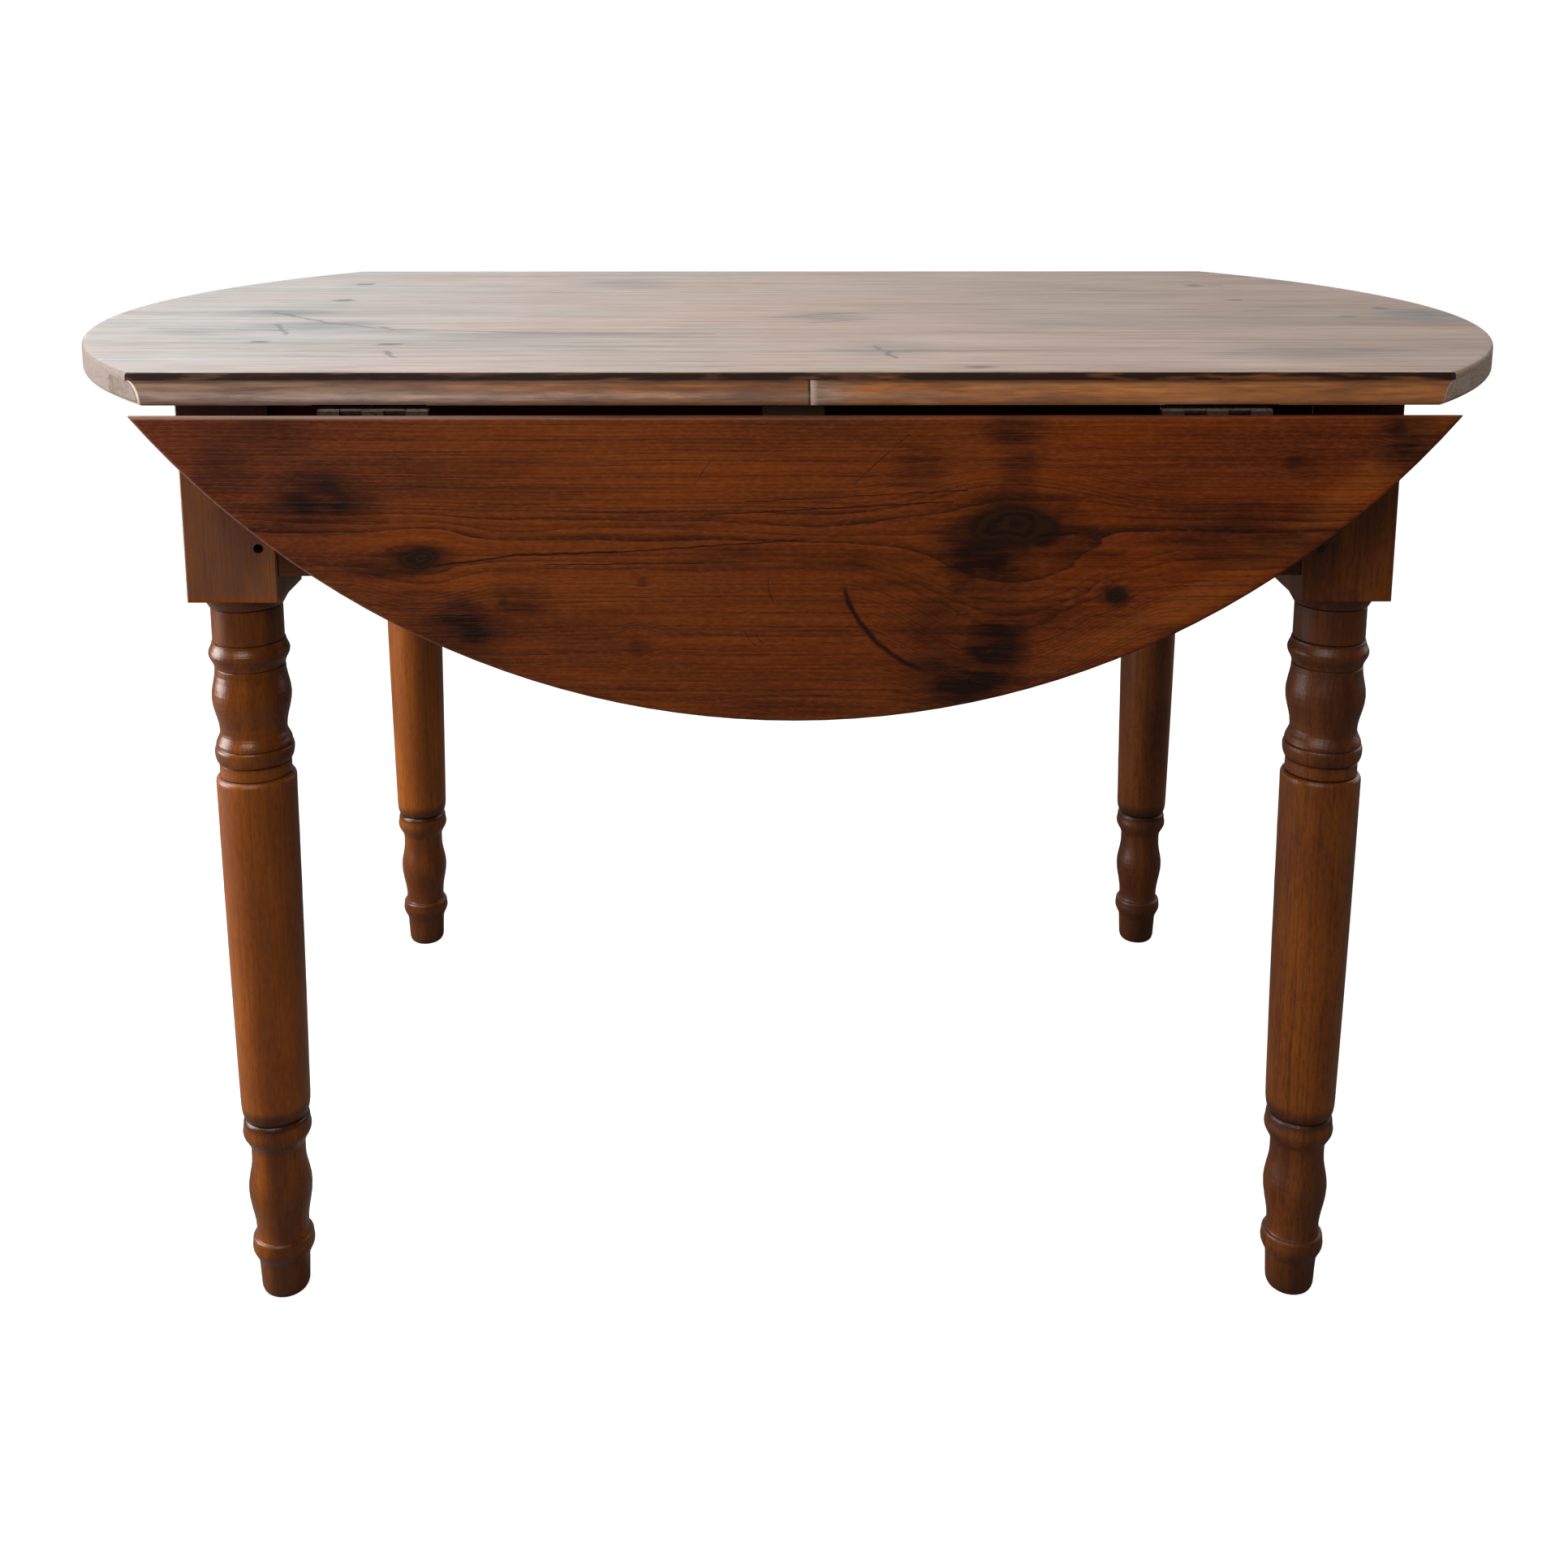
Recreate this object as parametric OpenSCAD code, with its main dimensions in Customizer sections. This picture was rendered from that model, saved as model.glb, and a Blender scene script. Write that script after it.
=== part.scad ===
// Drop-leaf dining table in old waxed pine. A fixed centre top sits on a pegged frame with four
// turned legs. Two leaves hang from it on rule joints, and a pull-out loper holds each one up.
// The origin is on the floor under the table's centre. +X runs along the hinges, the front of the
// table faces -Y and +Z is up. The leaves are drawn hanging, which is the rest position.

/* [Table] */
// Height from the floor to the top surface
table_h = 750; // [700:1:800]
// Diameter that the ends of the fixed top are rounded to
top_d = 1168; // [1120:1:1250]
// How far the leaves' round edge stands in from the top's, as they were fitted by eye
leaf_in = 4; // [0:0.5:6]
// How far both leaves and their hinges sit to the right of the top's centre
leaf_shift = 3; // [-4:0.5:4]
// Width of the fixed centre top, from joint line to joint line
centre_w = 726; // [716:1:760]
// Thickness of the top boards and of the leaves
top_t = 21; // [19:0.5:25]
// Rounding of the worn edge round the ends of the top and the leaves
edge_round = 3; // [1:0.5:4]
// Width of the front board of the fixed top. The middle board takes what the other two leave.
front_board_w = 207; // [160:1:240]
// Width of the back board of the fixed top
back_board_w = 250; // [180:1:280]

/* [Rule joint] */
// Height of the square lip over the moulding
lip_h = 6; // [5:0.5:8]
// How far the moulding strip reaches in under the top board
moulding_inset = 30; // [24:1:40]
// Where the two lengths of the front moulding meet, right of the centre
moulding_seam_x = 12; // [-60:1:60]
// Clearance between the leaf's cove and the moulding's ovolo
cove_gap = 0.7; // [0.5:0.1:1.5]
// Clearance at the joint line when a leaf is up
joint_gap = 0.4; // [0.2:0.1:1]
// Rounding of the leaf's upper edge at the joint line
leaf_edge_round = 2.5; // [1:0.5:3]
// Rounding of the lip's upper edge
lip_edge_round = 1; // [0.5:0.1:2]

/* [Hinges] */
// Length of each hinge along the joint
hinge_l = 76; // [60:1:90]
// Distance of each hinge's middle from the leaf's tip
hinge_in = 162; // [140:1:200]
// Depth of the hinge pin's axis under the top's underside
pin_drop = 5.5; // [5:0.1:7]
// Diameter of the hinge pin
pin_d = 3; // [2.5:0.1:3.5]
// Outer diameter of the knuckles
knuckle_d = 7; // [6:0.1:8]
// Thickness of the hinge plates
plate_t = 2; // [1.5:0.1:2.2]
// Width of the plate under the fixed top, from the pin's axis
table_plate_w = 28; // [24:1:30]
// Width of the plate under the leaf, from the pin's axis
leaf_plate_w = 58; // [50:1:70]
// Diameter of the hinge screws' shanks
hinge_screw_d = 4; // [3:0.1:4.5]
// Length of the hinge screws in the wood
hinge_screw_l = 12; // [8:0.5:12.5]
// Distance of the leaf plate's near screws past the edge of the cove
screw_past_cove = 12; // [9:0.5:16]
// Distance of the leaf plate's far screw from the plate's edge
screw_from_edge = 9; // [7:0.5:14]

/* [Frame] */
// How far the ends of the round top stand out past the leg blocks
end_overhang = 149; // [120:1:160]
// How far the joint lines stand out past the leg blocks
side_overhang = 30; // [26:1:40]
// Side of the square leg blocks
block_w = 66; // [60:1:72]
// Height of the square leg blocks
block_h = 152; // [140:1:170]
// Width of the small flat along the blocks' corners
block_chamfer = 1; // [0.5:0.1:2]
// Height of the aprons
apron_h = 133; // [120:1:138]
// Thickness of the aprons
apron_t = 22; // [20:1:26]
// How far the aprons stand back from the blocks' faces
apron_setback = 3; // [2:0.5:6]
// Thickness of the tenons
tenon_t = 10; // [8:0.5:12]
// Length of the tenons
tenon_l = 36; // [30:1:38]
// Shoulder below each tenon
tenon_low = 10; // [6:1:20]
// Shoulder above each tenon
tenon_high = 25; // [20:1:40]
// Space left at the bottom of each mortise
mortise_gap = 1; // [0.5:0.5:3]

/* [Pegs] */
// Diameter of the drawbore pegs
peg_d = 7; // [5:0.5:8]
// Length of the drawbore pegs
peg_l = 32; // [26:1:36]
// Distance of the pegs from the tenon's shoulder
peg_in = 12.5; // [10:0.5:16]
// Distance of the lower and upper pegs from the tenon's edges
peg_edge = 11; // [9:1:20]

/* [Leg turning] */
// Radius of the flared shoulder where it leaves the block
shoulder_r = 32.2; // [30:0.1:33]
// Height of the flared shoulder
shoulder_h = 9; // [6:0.5:12]
// Radius of the shoulder's lower end
shoulder_low_r = 27; // [26:0.1:29]
// Depth of the thin scribed rings
ring_depth = 0.6; // [0.3:0.1:1]
// Width of the thin scribed rings
ring_w = 1.2; // [0.8:0.1:2]
// Radius of the neck under the block
neck_r = 26.1; // [23:0.1:26.9]
// Height of the neck
neck_h = 25.6; // [20:0.1:30]
// Radius of the ledge over the upper bead
ledge_r = 26.9; // [26:0.1:27.5]
// Radius of the upper bead
upper_bead_r = 29.5; // [28:0.1:31]
// Height of the upper bead above its widest place
upper_bead_up_h = 8.5; // [6:0.5:10]
// Height of the upper bead below its widest place
upper_bead_low_h = 10.5; // [8:0.5:13]
// Radius of the vase at its upper end
vase_top_r = 25.8; // [25:0.1:27]
// Radius of the vase at its belly
vase_r = 29; // [27:0.1:31]
// Height of the vase above its belly
vase_up_h = 22.5; // [18:0.5:26]
// Radius of the waist under the vase
waist_r = 24.5; // [22:0.1:27]
// Height of the vase from its belly to the waist
vase_low_h = 26.5; // [22:0.5:30]
// Radius of the collar over the lower bead
collar_r = 28; // [27:0.1:28.5]
// Height of the collar from the waist to its edge
collar_h = 11; // [8:0.5:14]
// Radius of the lower bead
lower_bead_r = 29.1; // [28.6:0.1:31]
// Height of the lower bead above its widest place
lower_bead_up_h = 3.5; // [2:0.5:5]
// Height of the lower bead below its widest place
lower_bead_low_h = 9; // [7:0.5:11]
// Radius of the band over the taper
band_r = 26.4; // [25:0.1:28]
// Height of the band over the taper
band_h = 9; // [6:0.5:12]
// Height of the round at the top of the taper
taper_round_h = 4.5; // [3:0.5:7]
// Radius of the upper end of the long taper
taper_top_r = 29.5; // [27:0.1:31]
// Radius of the lower end of the long taper
taper_low_r = 26.4; // [24:0.1:29]
// How much the middle of the taper swells
taper_swell = 0.4; // [0:0.1:1]
// Height of the taper's lower end over the floor
taper_z = 167; // [160:1:180]
// Radius of the groove under the taper
ankle_groove_r = 22.8; // [20:0.1:24.5]
// Height of the groove under the taper over the floor
ankle_groove_z = 153; // [149:0.5:158]
// Radius of the ankle bead's upper edge
ankle_edge_r = 25.4; // [25:0.1:26]
// Height of the ankle bead's upper edge over the floor
ankle_edge_z = 148; // [146.5:0.5:148]
// Radius of the ankle bead
ankle_bead_r = 26.3; // [24:0.1:28]
// Height of the ankle bead over the floor
ankle_bead_z = 141; // [136:0.5:146]
// Height of the ankle neck's upper end over the floor
ankle_neck_top_z = 126; // [122:0.5:130]
// Radius of the ankle's neck
ankle_neck_r = 20.7; // [18:0.1:22]
// Height of the ankle neck's lower end over the floor
ankle_neck_z = 118; // [110:0.5:121]
// Radius of the lower vase
low_vase_r = 24.4; // [22:0.1:26]
// Height of the lower vase over the floor
low_vase_z = 91; // [82:0.5:98]
// Radius of the lowest neck
low_neck_r = 20.1; // [18:0.1:22]
// Height of the lowest neck over the floor
low_neck_z = 56.5; // [52:0.5:66]
// Radius of the foot bead's flare
foot_flare_r = 21.6; // [21:0.1:22]
// Height of the foot bead's flare over the floor
foot_flare_z = 50; // [49.5:0.5:51.5]
// Radius of the foot bead's upper edge
foot_edge_r = 23.6; // [22.5:0.1:24]
// Height of the foot bead's upper edge over the floor
foot_edge_z = 46.5; // [46.5:0.5:48]
// Radius of the foot bead
foot_bead_r = 24.1; // [22:0.1:26]
// Height of the foot bead over the floor
foot_bead_z = 41; // [36:0.5:46]
// Radius of the foot at its top
foot_top_r = 19.6; // [18:0.1:22]
// Height of the foot
foot_z = 27; // [22:0.5:32]
// Radius of the foot near the floor
foot_low_r = 18.7; // [16:0.1:20]
// Height of the round at the foot's end
foot_round_h = 8; // [4:0.5:12]
// Radius of the foot's flat end
foot_flat_r = 14; // [12:0.5:15]

/* [Lopers] */
// Width of the lopers
loper_w = 44; // [36:1:50]
// Height of the lopers
loper_h = 36; // [30:1:40]
// Distance of the lopers' middle line from the table's centre
loper_x = 2; // [-6:1:6]
// How far the lopers' noses stand behind the joint line when pushed in
loper_setback = 18; // [14:1:22]
// Clearance over the lopers, under the top
loper_top_gap = 1.5; // [1.2:0.1:4]
// Clearance under the lopers
loper_low_gap = 0.5; // [0.3:0.1:0.9]
// Clearance at each side of the lopers
loper_side_gap = 0.8; // [0.4:0.1:0.9]
// Length of the bevel on the nose
nose_l = 30; // [26:1:40]
// Height of the bevel on the nose
nose_h = 12; // [11:1:16]
// Length of the block between the two lopers' tails
stop_block_l = 48; // [30:1:80]
// Diameter of the stop pin in each loper's tail
stop_pin_d = 8; // [6:0.5:10]
// How far the stop pins hang below the lopers
stop_pin_drop = 8; // [5:0.5:9]
// Depth of the stop pins in the lopers
stop_pin_in = 28; // [20:1:30]
// Distance of the stop pins from the lopers' tail ends
stop_pin_end = 20; // [14:1:40]
// Thickness of the runners beside the lopers
runner_t = 22; // [16:1:30]
// Thickness of the keepers across the runners
keeper_t = 10; // [8:1:14]
// Length of the keepers along the lopers
keeper_l = 40; // [30:1:60]
// Distance of the keepers from the aprons
keeper_in = 108; // [60:1:140]

/* [Fixings] */
// Side of the square glue blocks under the top
glue_block_w = 25; // [20:1:30]
// Length of the glue blocks
glue_block_l = 70; // [50:1:90]
// Distance of the long sides' glue blocks from the leg blocks
long_block_in = 199; // [160:1:230]
// Distance of the short sides' glue blocks from the leg blocks
short_block_in = 117; // [80:1:150]
// Diameter of the wood screws' shanks
wood_screw_d = 4.5; // [3.5:0.1:5]
// How far the wood screws reach into the second piece
wood_screw_grip = 13; // [10:0.5:15]
// Distance of the runners' outer screws from the aprons
runner_screw_in = 78; // [40:1:100]

/* [Hidden] */
$fn = 64;

LEFT = -1;
RIGHT = 1;
FRONT = -1;
BACK = 1;

// A little extra length that lets a cutting shape pass a face
past = 1;

// Top and rule joint
top_r = top_d / 2;
leaf_r = top_r - leaf_in;
under_z = table_h - top_t;
joint_y = centre_w / 2;
ovolo_r = top_t - lip_h;
moulding_y = joint_y + ovolo_r;
front_board_joint = joint_y - front_board_w;
back_board_joint = joint_y - back_board_w;
pin_z = under_z - pin_drop;
cove_r = pin_drop + ovolo_r + cove_gap;
arc_steps = 4;

// Hinges
knuckles = 5;
knuckle_gap = 0.3;
pin_gap = 0.05;
plate_clear = 0.7;
relief_h = 0.5;
hinge_x = sqrt(leaf_r * leaf_r - joint_y * joint_y) - hinge_in;
function hinge_at(sx) = sx * hinge_x + leaf_shift;
screw_head_r = hinge_screw_d * 0.95;
table_screw_y = table_plate_w * 0.55;
leaf_screw_near = cove_r + screw_past_cove;
leaf_screw_far = leaf_plate_w - screw_from_edge;
screw_pitch = hinge_l / 3;

// Frame
frame_l = top_d - 2 * end_overhang;
frame_w = centre_w - 2 * side_overhang;
leg_x = (frame_l - block_w) / 2;
leg_y = (frame_w - block_w) / 2;
block_z = under_z - block_h;
apron_z = under_z - apron_h;
apron_out_y = frame_w / 2 - apron_setback;
apron_out_x = frame_l / 2 - apron_setback;
apron_in_y = apron_out_y - apron_t;
apron_in_x = apron_out_x - apron_t;
tenon_z = apron_z + tenon_low;
tenon_h = apron_h - tenon_low - tenon_high;
tenon_off = apron_setback + (apron_t - tenon_t) / 2;
peg_heights = [tenon_z + peg_edge, tenon_z + tenon_h - peg_edge];

// Fixings under the top
long_block_x = leg_x - block_w / 2 - long_block_in;
short_block_y = leg_y - block_w / 2 - short_block_in;
runner_screw_y = apron_in_y - runner_screw_in;

// Lopers
loper_top = under_z - loper_top_gap;
loper_low = loper_top - loper_h;
channel_low = loper_low - loper_low_gap;
channel_w = loper_w + 2 * loper_side_gap;
nose_y = joint_y - loper_setback;
tail_gap = 0.5;
tail_y = stop_block_l / 2 + tail_gap;
stop_pin_y = tail_y + stop_pin_end;
keeper_y = apron_in_y - keeper_in - keeper_l;

// Leg profile. Each stop is [how the surface gets there, height, radius]. STRAIGHT is a cone, WAVE a
// smooth double curve, SWELL leaves a groove and rounds over, and TUCK rounds over into a groove.
STRAIGHT = 0;
WAVE = 1;
SWELL = 2;
TUCK = 3;
curve_steps = 5;
quarter_turn = 90;
function running_sum(v, i) = i == 0 ? v[0] : v[i] + running_sum(v, i - 1);
// The upper turning hangs from the block. Each of its stops is [way, height of this length, radius].
upper_lengths = [
  [STRAIGHT, -block_chamfer, shoulder_r], [STRAIGHT, block_chamfer, shoulder_r],
  [STRAIGHT, shoulder_h, shoulder_low_r], [STRAIGHT, ring_w / 2, neck_r - ring_depth],
  [STRAIGHT, ring_w / 2, neck_r], [STRAIGHT, neck_h, neck_r],
  [STRAIGHT, ring_w / 2, neck_r - ring_depth], [STRAIGHT, ring_w / 2, ledge_r],
  [WAVE, upper_bead_up_h, upper_bead_r], [WAVE, upper_bead_low_h, vase_top_r],
  [STRAIGHT, ring_w / 2, vase_top_r - ring_depth], [STRAIGHT, ring_w / 2, vase_top_r],
  [WAVE, vase_up_h, vase_r], [WAVE, vase_low_h, waist_r], [WAVE, collar_h, collar_r],
  [STRAIGHT, ring_w / 2, collar_r - ring_depth], [STRAIGHT, ring_w / 2, collar_r],
  [SWELL, lower_bead_up_h, lower_bead_r], [TUCK, lower_bead_low_h, band_r - ring_depth],
  [STRAIGHT, ring_w / 2, band_r], [STRAIGHT, band_h, band_r],
  [STRAIGHT, ring_w / 2, band_r - ring_depth], [SWELL, taper_round_h, taper_top_r]
];
upper_stops = [
  for (i = [0 : len(upper_lengths) - 1])
    [upper_lengths[i][0], block_z - running_sum([for (l = upper_lengths) l[1]], i), upper_lengths[i][2]]
];
taper_from = upper_stops[len(upper_stops) - 1][1];
taper_steps = 6;
taper_stops = [
  for (k = [1 : taper_steps - 1])
    let (part = k / taper_steps)
      [STRAIGHT, taper_from + (taper_z - taper_from) * part,
        taper_top_r + (taper_low_r - taper_top_r) * part + taper_swell * sin(180 * part)]
];
// The lower turning stands on the floor.
lower_stops = [
  [STRAIGHT, taper_z, taper_low_r], [TUCK, ankle_groove_z, ankle_groove_r],
  [SWELL, ankle_edge_z, ankle_edge_r], [WAVE, ankle_bead_z, ankle_bead_r],
  [WAVE, ankle_neck_top_z, ankle_neck_r],
  [STRAIGHT, ankle_neck_z, ankle_neck_r],
  [WAVE, low_vase_z, low_vase_r], [WAVE, low_neck_z, low_neck_r],
  [TUCK, foot_flare_z, foot_flare_r], [SWELL, foot_edge_z, foot_edge_r], [WAVE, foot_bead_z, foot_bead_r],
  [WAVE, foot_z, foot_top_r], [STRAIGHT, foot_round_h, foot_low_r], [TUCK, 0, foot_flat_r]
];
leg_stops = concat(upper_stops, taper_stops, lower_stops);
function way(kind, part) =
  let (a = quarter_turn * part)
    kind == WAVE ? [part, (1 - cos(2 * a)) / 2] :
    kind == SWELL ? [1 - cos(a), sin(a)] :
    kind == TUCK ? [sin(a), 1 - cos(a)] : [part, part];
function reach(from, to) = [
  for (k = [1 : to[0] == STRAIGHT ? 1 : curve_steps])
    let (n = to[0] == STRAIGHT ? 1 : curve_steps, w = way(to[0], k / n))
      [from[2] + (to[2] - from[2]) * w[1], from[1] + (to[1] - from[1]) * w[0]]
];
leg_outline = concat(
  [[0, leg_stops[0][1]], [leg_stops[0][2], leg_stops[0][1]]],
  [for (i = [1 : len(leg_stops) - 1]) each reach(leg_stops[i - 1], leg_stops[i])],
  [[0, 0]]
);

// Colours
TOP_WOOD = "#C9B8A8";
EDGE_WOOD = "#8A6248";
LEAF_WOOD = "#7A4423";
LEG_WOOD = "#6E4527";
INSIDE_WOOD = "#8F6B48";
HINGE_STEEL = "#8D8984";
SCREW_STEEL = "#6F6B66";

// Rounded corner points of radius r about [y, z], from angle a to angle b
function corner(y, z, r, a, b) = [
  for (k = [0 : arc_steps])
    let (t = a + (b - a) * k / arc_steps) [y + r * cos(t), z + r * sin(t)]
];

// A shape drawn at the front, mirrored to the back when side is BACK
module on_side(side) {
  if (side == BACK) mirror([0, 1, 0]) children();
  else children();
}

// A leaf or its fittings are drawn raised at the front, then swung down about the hinge pin.
module hanging(side) {
  on_side(side)
    translate([0, -joint_y, pin_z]) rotate([90, 0, 0]) translate([0, joint_y, -pin_z]) children();
}

// A section in Y and Z stretched along X from x0 to x1
module along_x(x0, x1) {
  translate([x0, 0, 0]) rotate([90, 0, 90]) linear_extrude(x1 - x0) children();
}

module box_between(low, high) {
  translate(low) cube(high - low);
}

// A full round board of radius r with a worn edge
module round_board(r) {
  rotate_extrude($fn = 240) polygon(concat(
    [[0, under_z]],
    corner(r - edge_round, under_z + edge_round, edge_round, -90, 0),
    corner(r - edge_round, table_h - edge_round, edge_round, 0, 90),
    [[0, table_h]]
  ));
}

module round_top() {
  round_board(top_r);
}

// Wood screw pointing up, its head flush with z = 0
module screw(d, l, head_r) {
  head_h = head_r - d / 2;
  tip_h = d / 2;
  rotate_extrude() polygon([
    [0, 0], [head_r, 0], [d / 2, head_h], [d / 2, l - tip_h], [d / 10, l], [0, l]
  ]);
}

module turned_leg() {
  rotate_extrude() polygon(leg_outline);
}

module leg_block() {
  h = block_w / 2;
  c = block_chamfer;
  translate([0, 0, block_z]) linear_extrude(block_h) polygon([
    [h - c, h], [h, h - c], [h, c - h], [h - c, -h], [c - h, -h], [-h, c - h], [-h, h - c], [c - h, h]
  ]);
}

// Tenons of the four aprons, with some slack where they cut the mortises
module long_tenons(slack) {
  x = leg_x - block_w / 2 + tenon_l + slack;
  for (s = [FRONT, BACK])
    box_between(
      [-x, s * (frame_w / 2 - tenon_off - tenon_t / 2) - tenon_t / 2, tenon_z],
      [x, s * (frame_w / 2 - tenon_off - tenon_t / 2) + tenon_t / 2, tenon_z + tenon_h]
    );
}

module short_tenons(slack) {
  y = leg_y - block_w / 2 + tenon_l + slack;
  for (s = [LEFT, RIGHT])
    box_between(
      [s * (frame_l / 2 - tenon_off - tenon_t / 2) - tenon_t / 2, -y, tenon_z],
      [s * (frame_l / 2 - tenon_off - tenon_t / 2) + tenon_t / 2, y, tenon_z + tenon_h]
    );
}

// One peg or its bore, at the corner sx, sy, on the long or the short side
module long_peg(sx, sy, z) {
  translate([sx * (leg_x - block_w / 2 + peg_in), sy * frame_w / 2, z])
    rotate([sy * 90, 0, 0]) cylinder(d = peg_d, h = peg_l);
}

module short_peg(sx, sy, z) {
  translate([sx * frame_l / 2, sy * (leg_y - block_w / 2 + peg_in), z])
    rotate([0, -sx * 90, 0]) cylinder(d = peg_d, h = peg_l);
}

module peg_bores(sx, sy) {
  for (z = peg_heights) {
    long_peg(sx, sy, z);
    short_peg(sx, sy, z);
  }
}

module leg(sx, sy) {
  color(LEG_WOOD) difference() {
    translate([sx * leg_x, sy * leg_y, 0]) union() {
      turned_leg();
      leg_block();
    }
    long_tenons(mortise_gap);
    short_tenons(mortise_gap);
    peg_bores(sx, sy);
  }
}

module leg_front_left() { leg(LEFT, FRONT); }
module leg_front_right() { leg(RIGHT, FRONT); }
module leg_back_left() { leg(LEFT, BACK); }
module leg_back_right() { leg(RIGHT, BACK); }

// Half of the frame's joints belong to each apron, so a tenon is kept only on its own side.
module long_apron(side) {
  x = leg_x - block_w / 2;
  color(LEG_WOOD) on_side(side) difference() {
    union() {
      box_between([-x, -apron_out_y, apron_z], [x, -apron_in_y, under_z]);
      intersection() {
        long_tenons(0);
        box_between([-frame_l, -frame_w, 0], [frame_l, 0, table_h]);
      }
    }
    for (sx = [LEFT, RIGHT]) peg_bores(sx, FRONT);
    box_between(
      [loper_x - channel_w / 2, -apron_out_y - past, channel_low],
      [loper_x + channel_w / 2, -apron_in_y + past, under_z + past]
    );
  }
}

module front_apron() { long_apron(FRONT); }
module back_apron() { long_apron(BACK); }

module short_apron(side) {
  y = leg_y - block_w / 2;
  color(LEG_WOOD) difference() {
    union() {
      translate([side * (apron_out_x - apron_t / 2), 0, apron_z + apron_h / 2])
        cube([apron_t, 2 * y, apron_h], center = true);
      intersection() {
        short_tenons(0);
        translate([side * frame_l / 2, 0, table_h / 2]) cube([frame_l, frame_w, table_h], center = true);
      }
    }
    for (sy = [FRONT, BACK]) peg_bores(side, sy);
  }
}

module left_apron() { short_apron(LEFT); }
module right_apron() { short_apron(RIGHT); }

// The lower front peg of the front left leg is lost, and its bore stands open.
module drawbore_pegs() {
  color(INSIDE_WOOD) for (sx = [LEFT, RIGHT], sy = [FRONT, BACK], z = peg_heights) {
    if (!(sx == LEFT && sy == FRONT && z == peg_heights[0])) long_peg(sx, sy, z);
    short_peg(sx, sy, z);
  }
}

// Everything that is screwed up into the top from below
module top_screw_shapes() {
  long_y = apron_in_y - glue_block_w / 2;
  short_x = apron_in_x - glue_block_w / 2;
  for (sx = [LEFT, RIGHT], sy = [FRONT, BACK]) {
    translate([sx * long_block_x, sy * long_y, under_z - glue_block_w])
      screw(wood_screw_d, glue_block_w + wood_screw_grip, wood_screw_d);
    translate([sx * short_x, sy * short_block_y, under_z - glue_block_w])
      screw(wood_screw_d, glue_block_w + wood_screw_grip, wood_screw_d);
  }
}

module runner_screw_shapes() {
  for (sx = [LEFT, RIGHT], y = [-runner_screw_y, 0, runner_screw_y])
    translate([loper_x + sx * (channel_w + runner_t) / 2, y, channel_low])
      screw(wood_screw_d, under_z - channel_low + wood_screw_grip, wood_screw_d);
}

// Screws of the plates under the fixed top at the front, of both hinges
module table_plate_screw_shapes() {
  for (sx = [LEFT, RIGHT], k = [-1, 0, 1])
    translate([hinge_at(sx) + k * screw_pitch, table_screw_y - joint_y, under_z - plate_t])
      screw(hinge_screw_d, hinge_screw_l + plate_t, screw_head_r);
}

// Screws of the plates under the raised front leaf, of both hinges, the middle one further out
module leaf_plate_screw_shapes() {
  for (sx = [LEFT, RIGHT], k = [-1, 0, 1])
    translate([
      hinge_at(sx) + k * screw_pitch,
      -joint_y - (k == 0 ? leaf_screw_far : leaf_screw_near),
      under_z - plate_t
    ])
      screw(hinge_screw_d, hinge_screw_l + plate_t, screw_head_r);
}

// The lip and the rebate of a top board that carries a moulding, as a section in Y and Z at the front
module lip_section(inner_y) {
  r = lip_edge_round;
  polygon(concat(
    [[-inner_y, table_h]],
    corner(-joint_y + r, table_h - r, r, 90, 180),
    [
      [-joint_y, table_h - lip_h], [-joint_y + moulding_inset, table_h - lip_h],
      [-joint_y + moulding_inset, under_z], [-inner_y, under_z]
    ]
  ));
}

module screws_into_top() {
  top_screw_shapes();
  runner_screw_shapes();
}

module top_board_front() {
  color(TOP_WOOD) difference() {
    intersection() {
      round_top();
      along_x(-top_r, top_r) lip_section(front_board_joint);
    }
    screws_into_top();
  }
}

module top_board_middle() {
  color(TOP_WOOD) difference() {
    intersection() {
      round_top();
      box_between([-top_r, -front_board_joint, under_z], [top_r, back_board_joint, table_h]);
    }
    screws_into_top();
  }
}

module top_board_back() {
  color(TOP_WOOD) difference() {
    intersection() {
      round_top();
      mirror([0, 1, 0]) along_x(-top_r, top_r) lip_section(back_board_joint);
    }
    screws_into_top();
  }
}

// The ovolo strip that is glued into the rebate, from x0 to x1, at the front
module moulding(x0, x1) {
  difference() {
    intersection() {
      round_top();
      union() {
        box_between([x0, -joint_y, under_z], [x1, moulding_inset - joint_y, table_h - lip_h]);
        intersection() {
          translate([x0, -joint_y, under_z]) rotate([0, 90, 0]) cylinder(r = ovolo_r, h = x1 - x0);
          box_between([x0, -moulding_y, under_z], [x1, past - joint_y, table_h]);
        }
      }
    }
    table_plate_screw_shapes();
    for (sx = [LEFT, RIGHT])
      box_between(
        [hinge_at(sx) - hinge_l / 2 - past, -moulding_y - past, under_z - past],
        [hinge_at(sx) + hinge_l / 2 + past, -joint_y, under_z + relief_h]
      );
  }
}

module front_moulding_left() { color(EDGE_WOOD) moulding(-top_r, moulding_seam_x); }
module front_moulding_right() { color(EDGE_WOOD) moulding(moulding_seam_x, top_r); }
module back_moulding() { color(EDGE_WOOD) mirror([0, 1, 0]) moulding(-top_r, top_r); }

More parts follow.
